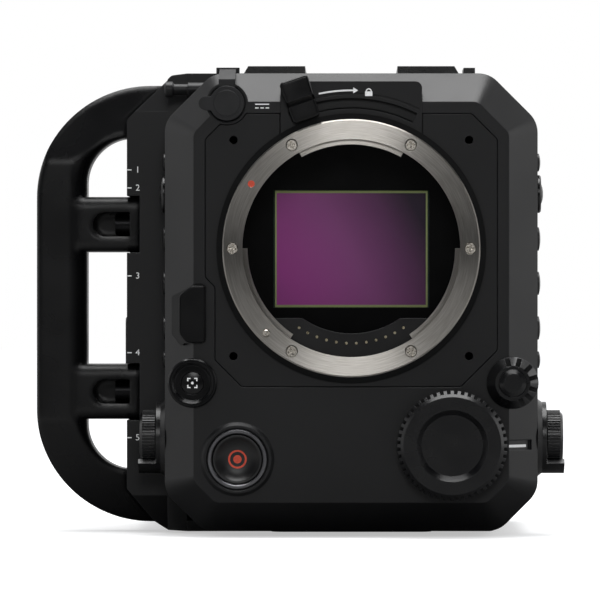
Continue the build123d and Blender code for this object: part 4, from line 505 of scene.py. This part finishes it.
# Short four-sided steps along an arc, so that a curved line stays clean
def arc(cx, cz, radius, start, end, width, steps):
    turns = [math.radians(start + (end - start) * step / steps) for step in range(steps + 1)]
    inner, outer = radius - width / 2, radius + width / 2
    return [
        [
            (cx + inner * math.cos(a), cz + inner * math.sin(a)),
            (cx + outer * math.cos(a), cz + outer * math.sin(a)),
            (cx + outer * math.cos(b), cz + outer * math.sin(b)),
            (cx + inner * math.cos(b), cz + inner * math.sin(b)),
        ]
        for a, b in zip(turns, turns[1:])
    ]


def disc(x, z, radius, sides):
    return [(x + radius * math.cos(t), z + radius * math.sin(t)) for t in turnsOf(sides)]


# Plain numbers in Blender's own letter shapes, made a mesh before they are placed
def numberMark(name, words, size, face, material, body):
    lay, out = face
    bm = bmesh.new()
    for text, u, v in words:
        data = bpy.data.curves.new(name, "FONT")
        data.body = text
        data.size = size
        data.extrude = film
        data.align_x, data.align_y = "CENTER", "CENTER"
        letter = bpy.data.objects.new(name, data)
        scene.collection.objects.link(letter)
        mesh = bpy.data.meshes.new_from_object(letter)
        bpy.data.objects.remove(letter)
        part = bmesh.new()
        part.from_mesh(mesh)
        for vertex in part.verts:
            flat = Vector(lay(u + vertex.co.x, v + vertex.co.y))
            vertex.co = (flat + Vector(out) * vertex.co.z) * mm
        bmesh.ops.remove_doubles(part, verts=part.verts, dist=mergeReach)
        part.to_mesh(mesh)
        part.free()
        bm.from_mesh(mesh)
    return meshPiece(name, bm, material, body)


# Front views are drawn as X and Z at a depth Y, side views as Y and Z at an X
def frontFace(depth):
    return lambda x, z: (x, depth, z), (0, -1, 0)


def rightFace(side):
    return lambda y, z: (side, y, z), (1, 0, 0)


# The side bevels of the front block lean back from its face
sideBevel = {"x": 47.05, "front": 1.5, "slope": 10.0 / 8.9, "out": (0.747, -0.665, 0.0)}


def bevelFace(sunk):
    def lay(x, z):
        back = sideBevel["front"] + (x - sideBevel["x"]) * sideBevel["slope"]
        return Vector((x, back, z)) - Vector(sideBevel["out"]) * sunk
    return lay, sideBevel["out"]


# Geometry Nodes trees are built with named inputs, and these are set by their
# identifiers before the object is first evaluated
def newTree(name, inputs):
    tree = bpy.data.node_groups.new(name, "GeometryNodeTree")
    tree.interface.new_socket("Geometry", in_out="OUTPUT", socket_type="NodeSocketGeometry")
    for label, kind in inputs:
        tree.interface.new_socket(label, in_out="INPUT", socket_type="NodeSocket" + kind)
    return tree, addNode(tree, "NodeGroupInput")


def endTree(tree, group, source, output):
    whole = addNode(tree, "GeometryNodeRealizeInstances", None, Geometry=(source, output))
    finished = addNode(
        tree, "GeometryNodeSetMaterial", None,
        Geometry=(whole, "Geometry"), Material=(group, "Finish"),
    )
    addNode(tree, "NodeGroupOutput", None, Geometry=(finished, "Geometry"))
    return tree


def treePiece(name, tree, values, body):
    maker = bpy.data.objects.new(name + "Maker", bpy.data.meshes.new(name + "Maker"))
    scene.collection.objects.link(maker)
    modifier = maker.modifiers.new("tree", "NODES")
    modifier.node_group = tree
    for item in tree.interface.items_tree:
        if item.in_out == "INPUT":
            modifier[item.identifier] = values[item.name]
    evaluated = maker.evaluated_get(bpy.context.evaluated_depsgraph_get())
    mesh = bpy.data.meshes.new_from_object(evaluated)
    mesh.name = name
    bpy.data.objects.remove(maker)
    return settle(bpy.data.objects.new(name, mesh), body)


# A screw head faces -Y with its face at zero depth: a domed rim, and a recess
# with walls and a floor, a cross or six-sided. Sink is the floor's share of it
def screwHead(name, head):
    bm = bmesh.new()
    if head["recess"] == "cross":
        half, reach = head["slotWidth"] / 2, head["slotReach"]
        arm = [(half, -half), (reach, -half * 0.7), (reach, half * 0.7)]
        mouth = [
            Matrix.Rotation(quarter * math.pi / 2, 2) @ Vector(point)
            for quarter in range(4) for point in arm
        ]
    else:
        mouth = [Vector((math.cos(t), math.sin(t))) * head["slotReach"] for t in turnsOf(6)]
    sink = head["sink"]
    top = [bm.verts.new((p.x, 0, p.y)) for p in mouth]
    low = [bm.verts.new((p.x * sink, head["recessDepth"], p.y * sink)) for p in mouth]
    rings = []
    for radius, depth in (
        (head["radius"] - head["round"], 0.0),
        (head["radius"] - head["round"] * 0.3, head["round"] * 0.3),
        (head["radius"], head["round"]),
        (head["radius"], head["height"]),
    ):
        rings.append([
            bm.verts.new((radius * math.cos(t), depth, radius * math.sin(t)))
            for t in turnsOf(head["sides"])
        ])
    for near, far in list(zip(rings, rings[1:])) + [(top, low)]:
        band(bm, near, far)
    bm.faces.new(rings[-1])
    bm.faces.new(low)
    rim = [bm.edges.get((loop[i], loop[(i + 1) % len(loop)])) for loop in (top, rings[0])
           for i in range(len(loop))]
    bmesh.ops.triangle_fill(bm, edges=rim, use_beauty=True)
    bmesh.ops.recalc_face_normals(bm, faces=bm.faces)
    bmesh.ops.scale(bm, vec=(mm, mm, mm), verts=bm.verts)
    return meshObject(name, bm)


# Screws in a ring, each stopped at its own turn, as a hand leaves them
def makeScrewRing():
    tree, group = newTree("screwRing", [
        ("Count", "Int"), ("Circle Radius", "Float"), ("Depth", "Float"), ("Head", "Object"),
        ("Seed", "Int"), ("Finish", "Material"),
    ])
    ring = addNode(
        tree, "GeometryNodeMeshCircle", None,
        Vertices=(group, "Count"), Radius=(group, "Circle Radius"),
    )
    inset = addNode(tree, "ShaderNodeCombineXYZ", None, Y=(group, "Depth"))
    upright = addNode(
        tree, "GeometryNodeTransform", None,
        Geometry=(ring, "Mesh"), Translation=(inset, "Vector"), Rotation=(math.pi / 2, 0, 0),
    )
    head = addNode(tree, "GeometryNodeObjectInfo", None, Object=(group, "Head"))
    turn = addNode(
        tree, "FunctionNodeRandomValue", {"data_type": "FLOAT_VECTOR"},
        i0=(0, -math.pi, 0), i1=(0, math.pi, 0), Seed=(group, "Seed"),
    )
    screws = addNode(
        tree, "GeometryNodeInstanceOnPoints", None,
        Points=(upright, "Geometry"), Instance=(head, "Geometry"), Rotation=(turn, "Value"),
    )
    return endTree(tree, group, screws, "Instances")


# Small parts at the crossings of a grid on any face: four corners, or a row.
# Screws stop at any turn, sleeves and blades all stand alike
gridInputs = [("Columns", "Int"), ("Rows", "Int"), ("Width", "Float"), ("Height", "Float"),
              ("Centre", "Vector"), ("Facing", "Vector"), ("Finish", "Material")]


def makeFittingGrid():
    tree, group = newTree(
        "fittingGrid", gridInputs + [("Head", "Object"), ("Turn", "Float"), ("Seed", "Int")],
    )
    grid = addNode(
        tree, "GeometryNodeMeshGrid", None,
        Size_X=(group, "Width"), Size_Y=(group, "Height"),
        Vertices_X=(group, "Columns"), Vertices_Y=(group, "Rows"),
    )
    upright = addNode(
        tree, "GeometryNodeTransform", None, Geometry=(grid, "Mesh"), Rotation=(math.pi / 2, 0, 0),
    )
    head = addNode(tree, "GeometryNodeObjectInfo", None, Object=(group, "Head"))
    chance = addNode(
        tree, "FunctionNodeRandomValue", {"data_type": "FLOAT_VECTOR"},
        i0=(0, -1, 0), i1=(0, 1, 0), Seed=(group, "Seed"),
    )
    turn = addNode(
        tree, "ShaderNodeVectorMath", {"operation": "SCALE"},
        i0=(chance, "Value"), Scale=(group, "Turn"),
    )
    fittings = addNode(
        tree, "GeometryNodeInstanceOnPoints", None,
        Points=(upright, "Geometry"), Instance=(head, "Geometry"), Rotation=(turn, "Vector"),
    )
    placed = addNode(
        tree, "GeometryNodeTransform", None,
        Geometry=(fittings, "Instances"), Translation=(group, "Centre"), Rotation=(group, "Facing"),
    )
    return endTree(tree, group, placed, "Geometry")


# A thread's helical ridge down a row of holes
def makeThreads():
    tree, group = newTree("threadRidges", gridInputs + [
        ("Hole Radius", "Float"), ("Ridge", "Float"), ("Depth", "Float"), ("Turns", "Float"),
    ])
    grid = addNode(
        tree, "GeometryNodeMeshGrid", None,
        Size_X=(group, "Width"), Size_Y=(group, "Height"),
        Vertices_X=(group, "Columns"), Vertices_Y=(group, "Rows"),
    )
    helix = addNode(
        tree, "GeometryNodeCurveSpiral", None,
        Resolution=24, Rotations=(group, "Turns"), Start_Radius=(group, "Hole Radius"),
        End_Radius=(group, "Hole Radius"), Height=(group, "Depth"),
    )
    tip = addNode(
        tree, "GeometryNodeCurvePrimitiveCircle", None, Resolution=4, Radius=(group, "Ridge"),
    )
    ridge = addNode(
        tree, "GeometryNodeCurveToMesh", None,
        Curve=(helix, "Curve"), Profile_Curve=(tip, "Curve"), Fill_Caps=True,
    )
    threads = addNode(
        tree, "GeometryNodeInstanceOnPoints", None, Points=(grid, "Mesh"), Instance=(ridge, "Mesh"),
    )
    placed = addNode(
        tree, "GeometryNodeTransform", None,
        Geometry=(threads, "Instances"), Translation=(group, "Centre"), Rotation=(group, "Facing"),
    )
    return endTree(tree, group, placed, "Geometry")


screwRing, fittingGrid, threadRidges = makeScrewRing(), makeFittingGrid(), makeThreads()

# Mount: pan heads with cross recesses, let into the ring's counterbores
mountScrews = {
    "count": 6, "circle": 35.5, "depth": 0.08, "seed": 7,
    "radius": 1.72, "height": 1.0, "round": 0.3, "sides": 32,
    "recess": "cross", "slotWidth": 0.55, "slotReach": 1.12, "recessDepth": 0.6, "sink": 0.7,
}
mountHeads = treePiece("mount_screw_heads", screwRing, {
    "Count": mountScrews["count"], "Circle Radius": mountScrews["circle"] * mm,
    "Depth": mountScrews["depth"] * mm, "Head": screwHead("mountHead", mountScrews),
    "Seed": mountScrews["seed"], "Finish": screwSteel,
}, "camera_body")
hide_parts("mount_screws")

# Black hexagon-socket screws that close the casings
bodyHead = screwHead("bodyHead", {
    "radius": 1.9, "height": 0.6, "round": 0.25, "sides": 24,
    "recess": "hexagon", "slotReach": 0.95, "recessDepth": 0.45, "sink": 0.98,
})


# An outline of radii and depths, turned about an axis along Y. A closed one
# is a sleeve, whose bore stays open
def lathe(outline, sides, x=0.0, z=0.0, closed=False):
    bm = bmesh.new()
    rings = [
        [
            bm.verts.new(((x + radius * math.cos(t)) * mm, y * mm, (z + radius * math.sin(t)) * mm))
            for t in turnsOf(sides)
        ]
        for radius, y in outline
    ]
    for near, far in zip(rings, rings[1:] + (rings[:1] if closed else [])):
        band(bm, near, far)
    bmesh.ops.remove_doubles(bm, verts=bm.verts, dist=mergeReach)
    bmesh.ops.recalc_face_normals(bm, faces=bm.faces)
    return bm


# A blade or a bed with rounded edges, standing out of its block towards -Y
def blade(name, size, rounding):
    bm = bmesh.new()
    bmesh.ops.create_cube(bm, size=1.0)
    bmesh.ops.scale(bm, vec=[length * mm for length in size], verts=bm.verts)
    bmesh.ops.bevel(
        bm, geom=list(bm.edges), offset=rounding * mm, segments=3, affect="EDGES", profile=0.5,
    )
    return meshObject(name, bm)


sleeve = {"outline": [(1.85, 0.6), (1.85, 0.15), (2.0, 0.0), (2.6, 0.0), (2.75, 0.15),
                      (2.75, 0.6)], "sides": 40}
jackSleeve = meshObject("jackSleeve", lathe(sleeve["outline"], sleeve["sides"], closed=True))
powerBlade = blade("powerBlade", size=(1.5, 2.4, 7.0), rounding=0.3)
contactBed = blade("contactBed", size=(30.0, 2.4, 13.0), rounding=0.9)

# Where the small fittings sit. Facing turns -Y to the face's own outward way
caseScrews = {"head": bodyHead, "finish": blackenedSteel, "columns": 2, "rows": 2, "turn": 180,
              "slot": "black_alloy"}
fittings = {
    "right_side_screws": {**caseScrews, "width": 77.0, "height": 98.0,
                          "centre": (55.65, 82.0, -16.0), "facing": (0, 0, 90)},
    "left_side_screws": {**caseScrews, "width": 50.0, "height": 98.0,
                         "centre": (-68.65, 93.0, -18.0), "facing": (0, 0, -90)},
    "battery_plate_screws": {**caseScrews, "width": 74.0, "height": 100.0,
                             "centre": (0, 131.25, -11.0), "facing": (0, 0, 180)},
    "base_plate_screws": {**caseScrews, "width": 40.0, "height": 68.0,
                          "centre": (0, 79.0, -86.35), "facing": (90, 0, 0)},
    "jack_sleeves": {"head": jackSleeve, "finish": screwSteel, "slot": "screw_steel", "rows": 3,
                     "height": 32.3, "centre": (-68.5, 84.0, 8.05), "facing": (0, 0, -90)},
    "battery_contact_bed": {"head": contactBed, "finish": mouldedKey, "slot": "black_plastic",
                            "centre": (0, 131.6, -34.0), "facing": (0, 0, 180)},
    "battery_contact_blades": {"head": powerBlade, "finish": goldPlate, "slot": "gold_contact",
                               "columns": 5, "width": 20.0, "centre": (0, 132.7, -34.0),
                               "facing": (0, 0, 180)},
}


# What names no columns or rows is a single one
def gridValues(row):
    return {
        "Columns": row.get("columns", 1), "Rows": row.get("rows", 1),
        "Width": row.get("width", 0.0) * mm, "Height": row.get("height", 0.0) * mm,
        "Centre": [v * mm for v in row["centre"]],
        "Facing": [math.radians(v) for v in row.get("facing", (0, 0, 0))],
    }


for seed, (name, row) in enumerate(fittings.items()):
    treePiece(name, fittingGrid, {
        **gridValues(row), "Head": row["head"], "Turn": math.radians(row.get("turn", 0)),
        "Seed": seed, "Finish": row["finish"],
    }, "camera_body")

# Blackened thread ridges show in the open holes
threadHoles = {
    "panel_threads": {"columns": 2, "rows": 2, "width": 70.3, "height": 64.5, "radius": 1.25,
                      "ridge": 0.12, "depth": 4.0, "pitch": 0.45, "centre": (0, 6.0, 0.05),
                      "facing": (90, 0, 0)},
    "top_threads": {"columns": 2, "rows": 3, "width": 47.0, "height": 50.0, "radius": 3.175,
                    "ridge": 0.3, "depth": 4.6, "pitch": 1.27, "centre": (0, 77.0, 51.0)},
    "small_tripod_thread": {"radius": 3.175, "ridge": 0.3, "depth": 8.0, "pitch": 1.27,
                            "centre": (0, 62.0, -85.9)},
    "large_tripod_thread": {"radius": 4.7625, "ridge": 0.35, "depth": 8.0, "pitch": 1.5875,
                            "centre": (0, 88.0, -85.9)},
}
for name, hole in threadHoles.items():
    treePiece(name, threadRidges, {
        **gridValues(hole), "Hole Radius": hole["radius"] * mm, "Ridge": hole["ridge"] * mm,
        "Depth": hole["depth"] * mm, "Turns": hole["depth"] / hole["pitch"],
        "Finish": blackenedSteel,
    }, "camera_body")
print("screws, threads, sleeves and contacts made")

# Port cover: a thick rubber plug on the bent flap. Its front lies flat and its
# back follows the bevel of the front block
portPlug = {"outline": [(-43.5, -11.1), (-43.5, -28.2), (-49.2, -28.2), (-51.4, -25.4),
                        (-51.4, -14.1), (-47.6, -11.1)],
            "corner": 1.1, "cornerSteps": 5, "front": -0.2, "rim": 0.6, "flat": 0.9,
            "bevelStart": -sideBevel["x"], "slope": sideBevel["slope"]}


# Each corner gives way to a short arc between two points on its sides
def roundedOutline(points, radius, steps):
    outline = []
    for i, point in enumerate(points):
        here = Vector(point)
        before = here + (Vector(points[i - 1]) - here).normalized() * radius
        after = here + (Vector(points[(i + 1) % len(points)]) - here).normalized() * radius
        for step in range(steps + 1):
            t = step / steps
            outline.append(before * (1 - t) ** 2 + here * 2 * t * (1 - t) + after * t ** 2)
    return outline


def makePortPlug(plug):
    bm = bmesh.new()
    edge = roundedOutline(plug["outline"], plug["corner"], plug["cornerSteps"])
    front = [bm.verts.new((x * mm, plug["front"] * mm, z * mm)) for x, z in edge]
    back = [bm.verts.new((x * mm, plug["flat"] * mm, z * mm)) for x, z in edge]
    bm.faces.new(front)
    bm.faces.new(list(reversed(back)))
    band(bm, back, front)
    # A cut along the block's edge lets the back fold there
    bmesh.ops.bisect_plane(
        bm, geom=bm.verts[:] + bm.edges[:] + bm.faces[:], dist=mergeReach,
        plane_co=(plug["bevelStart"] * mm, 0, 0), plane_no=(1, 0, 0),
    )
    bm.normal_update()
    middle = (plug["front"] + plug["flat"]) / 2 * mm
    for vert in bm.verts:
        past = plug["bevelStart"] - vert.co.x / mm
        if vert.co.y > middle and past > 0:
            vert.co.y += past * plug["slope"] * mm
    rim = [
        e for e in bm.edges
        if max(v.co.y for v in e.verts) < middle
        and any(abs(f.normal.y) < 0.5 for f in e.link_faces)
    ]
    bmesh.ops.bevel(
        bm, geom=rim, offset=plug["rim"] * mm, segments=4, affect="EDGES", profile=0.5,
    )
    return meshPiece("port_cover_plug", bm, siliconeRubber, "port_cover")


makePortPlug(portPlug)

# White ticks and plain port numbers at the connector block's left edge
ports = {"heights": [24.2, 18.7, -8.1, -31.5, -57.4], "tickStart": -68.3, "tickEnd": -66.95,
         "tickWidth": 0.34, "numberAt": -65.1, "size": 2.7, "depth": 36.0}
printedMark(
    "port_ticks",
    [bar(ports["tickStart"], z, ports["tickEnd"], z, ports["tickWidth"])
     for z in ports["heights"]],
    frontFace(ports["depth"]), whiteInk, "camera_body",
)
numberMark(
    "port_numbers",
    [(str(number + 1), ports["numberAt"], z) for number, z in enumerate(ports["heights"])],
    ports["size"], frontFace(ports["depth"]), whiteInk, "camera_body",
)

# Lever plate: a curved arrow towards the locked end, and a padlock
arrow = {"radius": 47.1, "start": 101.9, "end": 89.3, "width": 0.5, "head": 1.5, "flare": 0.9,
         "depth": 1.5}
tipAngle = math.radians(arrow["end"])
tip = Vector((math.cos(tipAngle), math.sin(tipAngle))) * arrow["radius"]
way = Vector((math.sin(tipAngle), -math.cos(tipAngle)))
side = Vector((-way.y, way.x))
arrowHead = [tuple(tip + way * arrow["head"]), tuple(tip + side * arrow["flare"]),
             tuple(tip - side * arrow["flare"])]
padlock = {"x": 5.2, "half": 1.1, "foot": 45.4, "top": 46.8, "bow": 0.75, "bowWidth": 0.32}
lockBody = bar(padlock["x"], padlock["foot"], padlock["x"], padlock["top"], padlock["half"] * 2)
printedMark(
    "lock_arrow",
    arc(0, 0, arrow["radius"], arrow["start"], arrow["end"], arrow["width"], 14)
    + [arrowHead, lockBody]
    + arc(padlock["x"], padlock["top"], padlock["bow"], 0, 180, padlock["bowWidth"], 8),
    frontFace(arrow["depth"]), whiteInk, "camera_body",
)

# Record button: a turned cap with a deep dish, and a ring and a dot laid in it
record = {"x": -34.0, "z": -63.0, "front": 0.8, "dishRadius": 6.75, "dish": 1.9, "bowl": 3.5,
          "dishSteps": 16, "capRadius": 7.45, "round": 0.3, "sides": 72, "ring": 2.5,
          "ringWidth": 0.55, "dot": 1.25}


def inRecordDish(x, z):
    away = math.hypot(x - record["x"], z - record["z"]) / record["dishRadius"]
    return x, record["front"] + record["dish"] * max(0.0, 1 - away ** record["bowl"]), z


# The outline runs from the middle of the dish to the middle of the back
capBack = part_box("record_button")[1][1] / mm
capFront, capRim, capRound = record["front"], record["capRadius"], record["round"]
dishRadii = [
    record["dishRadius"] * step / record["dishSteps"] for step in range(record["dishSteps"] + 1)
]
capOutline = [(r, inRecordDish(record["x"] + r, record["z"])[1]) for r in dishRadii] + [
    (capRim - capRound, capFront), (capRim - capRound * 0.3, capFront + capRound * 0.3),
    (capRim, capFront + capRound), (capRim, capBack), (0.0, capBack),
]
capMesh = lathe(capOutline, record["sides"], record["x"], record["z"])
for face in capMesh.faces:
    face.smooth = abs(face.normal.y) > 0.5
recordCap = meshPiece("record_cap", capMesh, dishedKey, "record_button")
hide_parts("record_button")
printedMark(
    "record_mark",
    arc(record["x"], record["z"], record["ring"], 0, 360, record["ringWidth"], 36)
    + [disc(record["x"], record["z"], record["dot"], 24)],
    (inRecordDish, (0, -1, 0)), orangeInk, "record_button",
)

# Assign button: a plain framing icon on its low dome
assign = {"x": -47.4, "z": -40.2, "front": 0.58, "half": 1.35, "leg": 0.8, "width": 0.36,
          "dot": 0.42}
icon = []
for sx in (-1, 1):
    for sz in (-1, 1):
        cx, cz = assign["x"] + sx * assign["half"], assign["z"] + sz * assign["half"]
        icon.append(bar(cx + sx * assign["width"] / 2, cz, cx - sx * assign["leg"], cz,
                        assign["width"]))
        icon.append(bar(cx, cz - sz * assign["width"] / 2, cx, cz - sz * assign["leg"],
                        assign["width"]))
icon.append(disc(assign["x"], assign["z"], assign["dot"], 16))
printedMark("assign_icon", icon, frontFace(assign["front"]), whiteInk, "assign_button")

# Direct current symbol beside the outlet: a line over three dashes
current = {"left": -28.7, "z": 42.4, "long": 4.2, "dash": 1.05, "step": 1.575, "gap": 0.55,
           "width": 0.34, "depth": 1.5}
above, below = current["z"] + current["gap"], current["z"] - current["gap"]
starts = [current["left"] + step * current["step"] for step in range(3)]
dashes = [bar(current["left"], above, current["left"] + current["long"], above, current["width"])]
dashes += [bar(x, below, x + current["dash"], below, current["width"]) for x in starts]
printedMark("current_mark", dashes, frontFace(current["depth"]), whiteInk, "camera_body")

# Index line for the dial, in the bevel's dark recess
index = {"start": 47.5, "end": 52.9, "z": -59.1, "width": 0.8, "sunk": 0.8}
printedMark(
    "dial_index", [bar(index["start"], index["z"], index["end"], index["z"], index["width"])],
    bevelFace(index["sunk"]), whiteInk, "camera_body",
)

# Status display: two rows of level bars, a battery and a round recording sign
display = {"face": 55.0, "left": 50.5, "right": 79.5, "rows": (19.0, 14.5), "lit": (11, 9),
           "bars": 16, "barWidth": 1.1, "barHeight": 2.2, "unlit": 0.25, "dot": (52.2, 30.0),
           "dotRadius": 1.2}
pitch = (display["right"] - display["left"]) / (display["bars"] - 1)
levels = []
for lit, z in zip(display["lit"], display["rows"]):
    for step in range(display["bars"]):
        y = display["left"] + step * pitch
        tall = display["barHeight"] if step < lit else display["barHeight"] * display["unlit"]
        levels.append(bar(y, z - tall / 2, y, z + tall / 2, display["barWidth"]))
cell = {"y": 75.6, "z": 30.0, "halfLong": 3.4, "halfTall": 1.6, "line": 0.3, "charge": 3.6,
        "chargeWidth": 2.0, "chargeMargin": 0.7, "tip": 0.55, "halfTip": 0.7, "tipWidth": 0.5}
inset = cell["line"] / 2
for way in (1, -1):
    z = cell["z"] + way * cell["halfTall"]
    levels.append(bar(cell["y"] - cell["halfLong"], z, cell["y"] + cell["halfLong"], z,
                      cell["line"]))
for way in (-1, 1):
    y = cell["y"] + way * (cell["halfLong"] - inset)
    levels.append(bar(y, cell["z"] - cell["halfTall"] + inset, y,
                      cell["z"] + cell["halfTall"] - inset, cell["line"]))
charged = cell["y"] - cell["halfLong"] + cell["chargeMargin"]
levels.append(bar(charged, cell["z"], charged + cell["charge"], cell["z"], cell["chargeWidth"]))
y = cell["y"] + cell["halfLong"] + cell["tip"]
levels.append(bar(y, cell["z"] - cell["halfTip"], y, cell["z"] + cell["halfTip"],
                  cell["tipWidth"]))
printedMark("display_levels", levels, rightFace(display["face"]), whiteInk, "camera_body")
printedMark(
    "display_record_dot", [disc(*display["dot"], display["dotRadius"], 24)],
    rightFace(display["face"]), orangeInk, "camera_body",
)

# Card door: outline of a card with its cut corner
card = {"face": 55.4, "y": 72.0, "z": -56.5, "width": 4.2, "height": 3.2, "cut": 1.1, "line": 0.3}
back, ahead = card["y"] - card["width"] / 2, card["y"] + card["width"] / 2
foot, head = card["z"] - card["height"] / 2, card["z"] + card["height"] / 2
outline = [(back, foot), (ahead, foot), (ahead, head - card["cut"]), (ahead - card["cut"], head),
           (back, head)]
printedMark(
    "card_mark",
    [bar(*start, *end, card["line"]) for start, end in zip(outline, outline[1:] + outline[:1])],
    rightFace(card["face"]), whiteInk, "card_door",
)
print("marks printed")

# Camera: the photograph's own distance, height and framing
camera = {"distance": 1600.0, "height": -15.45, "across": 600 / 3.355, "shift": -51.3 / 600,
          "film": 36.0, "near": 0.05, "far": 50}
cameraData = bpy.data.cameras.new("camera")
cameraObject = bpy.data.objects.new("camera", cameraData)
scene.collection.objects.link(cameraObject)
cameraObject.location = (0, -camera["distance"] * mm, camera["height"] * mm)
cameraObject.rotation_euler = (math.radians(90), 0, 0)
cameraData.sensor_width = camera["film"]
cameraData.lens = camera["film"] * camera["distance"] / camera["across"]
cameraData.shift_x = camera["shift"]
cameraData.clip_start = camera["near"]
cameraData.clip_end = camera["far"]
scene.camera = cameraObject


def softLight(name, lamp):
    data = bpy.data.lights.new(name, "AREA")
    data.shape = "RECTANGLE"
    data.size, data.size_y = lamp["size"]
    data.energy = lamp["watts"]
    light = bpy.data.objects.new(name, data)
    scene.collection.objects.link(light)
    light.location = lamp["place"]
    way = Vector(lamp["aim"]) - Vector(lamp["place"])
    light.rotation_euler = way.to_track_quat("-Z", "Y").to_euler()


# Studio: a long soft box overhead, weak strips at the sides, a faint front fill
lamps = {
    "overhead": {"place": (0, 0.02, 0.95), "aim": (0, 0.03, 0), "size": (0.85, 0.7),
                 "watts": 12.0},
    "leftStrip": {"place": (-0.95, 0.12, 0.1), "aim": (0, 0.03, 0), "size": (0.5, 0.9),
                  "watts": 1.0},
    "rightStrip": {"place": (0.95, 0.12, 0.1), "aim": (0, 0.03, 0), "size": (0.5, 0.9),
                   "watts": 1.6},
    "frontFill": {"place": (0, -1.4, 0.46), "aim": (0, 0, 0), "size": (0.36, 0.36), "watts": 2.1},
    "leftFill": {"place": (-0.5, -1.6, 0.22), "aim": (0, 0, 0), "size": (0.5, 0.5), "watts": 0.2},
}
for name, lamp in lamps.items():
    softLight(name, lamp)

# The sweep behind is white and the studio's front side is dark, as the dark
# sides of the steel ring show. Shares run along the ray's own direction
studio = {"behind": (-0.1, 0.45), "raised": (-0.4, 0.4), "lowShare": 0.45,
          "ambient": "#dfe2e8", "dusk": 0.65, "mirroredDusk": 0.04}
world = bpy.data.worlds.new("whiteSweep")
scene.world = world
world.use_nodes = True
sky = world.node_tree
sky.nodes.clear()
path = addNode(sky, "ShaderNodeLightPath")
place = addNode(sky, "ShaderNodeTexCoord")
parts = addNode(sky, "ShaderNodeSeparateXYZ", None, Vector=(place, "Generated"))
behind = addNode(
    sky, "ShaderNodeMapRange", None, Value=(parts, "Y"),
    From_Min=studio["behind"][0], From_Max=studio["behind"][1],
)
raised = addNode(
    sky, "ShaderNodeMapRange", None, Value=(parts, "Z"),
    From_Min=studio["raised"][0], From_Max=studio["raised"][1], To_Min=studio["lowShare"],
)
back = addNode(
    sky, "ShaderNodeMath", {"operation": "MULTIPLY"}, i0=(behind, "Result"), i1=(raised, "Result"),
)
mirrored = addNode(
    sky, "ShaderNodeMath", {"operation": "MULTIPLY"},
    i0=(path, "Is Glossy Ray"), i1=(back, "Value"),
)
through = addNode(
    sky, "ShaderNodeMath", {"operation": "MAXIMUM"},
    i0=(path, "Is Camera Ray"), i1=(path, "Is Transmission Ray"),
)
seen = addNode(
    sky, "ShaderNodeMath", {"operation": "MAXIMUM"}, i0=(through, "Value"), i1=(mirrored, "Value"),
)
dusk = addNode(
    sky, "ShaderNodeMapRange", None, Value=(path, "Is Glossy Ray"),
    To_Min=studio["dusk"], To_Max=studio["mirroredDusk"],
)
ambient = addNode(
    sky, "ShaderNodeBackground", None, Color=linear(studio["ambient"]), Strength=(dusk, "Result"),
)
backdrop = addNode(sky, "ShaderNodeBackground", None, Color=(1, 1, 1, 1), Strength=1.0)
choice = addNode(
    sky, "ShaderNodeMixShader", None,
    Fac=(seen, "Value"), i1=(ambient, "Background"), i2=(backdrop, "Background"),
)
addNode(sky, "ShaderNodeOutputWorld", None, Surface=(choice, "Shader"))

# The floor is white to the camera and through glass, and darker close to the
# body, where the body shades it. Mirrors see only a dim sheen behind the front
floor = {"cloth": "#bdbdbd", "shadeReach": 0.2, "shadePower": 3.0, "ahead": (-0.7, -0.25),
         "sheen": 0.5, "glow": (0.48, 0.85), "drop": 0.2,
         "corners": ((-4, -3), (4, -3), (4, 6), (-4, 6))}
floorMaterial, ground, spot = newMaterial("whiteFloor")
path = addNode(ground, "ShaderNodeLightPath")
cloth = addNode(ground, "ShaderNodeBsdfDiffuse", None, Color=linear(floor["cloth"]))
shade = addNode(
    ground, "ShaderNodeAmbientOcclusion", {"samples": 8}, Distance=floor["shadeReach"],
)
dimmed = addNode(
    ground, "ShaderNodeMath", {"operation": "POWER"}, i0=(shade, "AO"), i1=floor["shadePower"],
)
spotParts = addNode(ground, "ShaderNodeSeparateXYZ", None, Vector=(spot, "Object"))
ahead = addNode(
    ground, "ShaderNodeMapRange", None, Value=(spotParts, "Y"),
    From_Min=floor["ahead"][0], From_Max=floor["ahead"][1], To_Max=floor["sheen"],
)
mirrorGlow = addNode(
    ground, "ShaderNodeMath", {"operation": "MULTIPLY"},
    i0=(dimmed, "Value"), i1=(ahead, "Result"),
)
soft = addNode(
    ground, "ShaderNodeMapRange", None, Value=(shade, "AO"),
    To_Min=floor["glow"][0], To_Max=floor["glow"][1],
)
glow = addNode(ground, "ShaderNodeEmission", None, Color=(1, 1, 1, 1), Strength=(soft, "Result"))
sheen = addNode(
    ground, "ShaderNodeEmission", None, Color=(1, 1, 1, 1), Strength=(mirrorGlow, "Value"),
)
lit = addNode(ground, "ShaderNodeAddShader", None, i0=(glow, "Emission"), i1=(cloth, "BSDF"))
seen = addNode(
    ground, "ShaderNodeMath", {"operation": "MAXIMUM"},
    i0=(path, "Is Camera Ray"), i1=(path, "Is Transmission Ray"),
)
direct = addNode(
    ground, "ShaderNodeMixShader", None,
    Fac=(seen, "Value"), i1=(cloth, "BSDF"), i2=(lit, "Shader"),
)
mixed = addNode(
    ground, "ShaderNodeMixShader", None,
    Fac=(path, "Is Glossy Ray"), i1=(direct, "Shader"), i2=(sheen, "Emission"),
)
addNode(ground, "ShaderNodeOutputMaterial", None, Surface=(mixed, "Shader"))
floorLevel = cadBounds[0][2] - floor["drop"] * mm
bm = bmesh.new()
bm.faces.new([bm.verts.new((x, y, floorLevel)) for x, y in floor["corners"]])
floorObject = meshObject("floor", bm)
floorObject.data.materials.append(floorMaterial)
scene.collection.objects.link(floorObject)
print("studio set")

scene.view_settings.view_transform = "Standard"
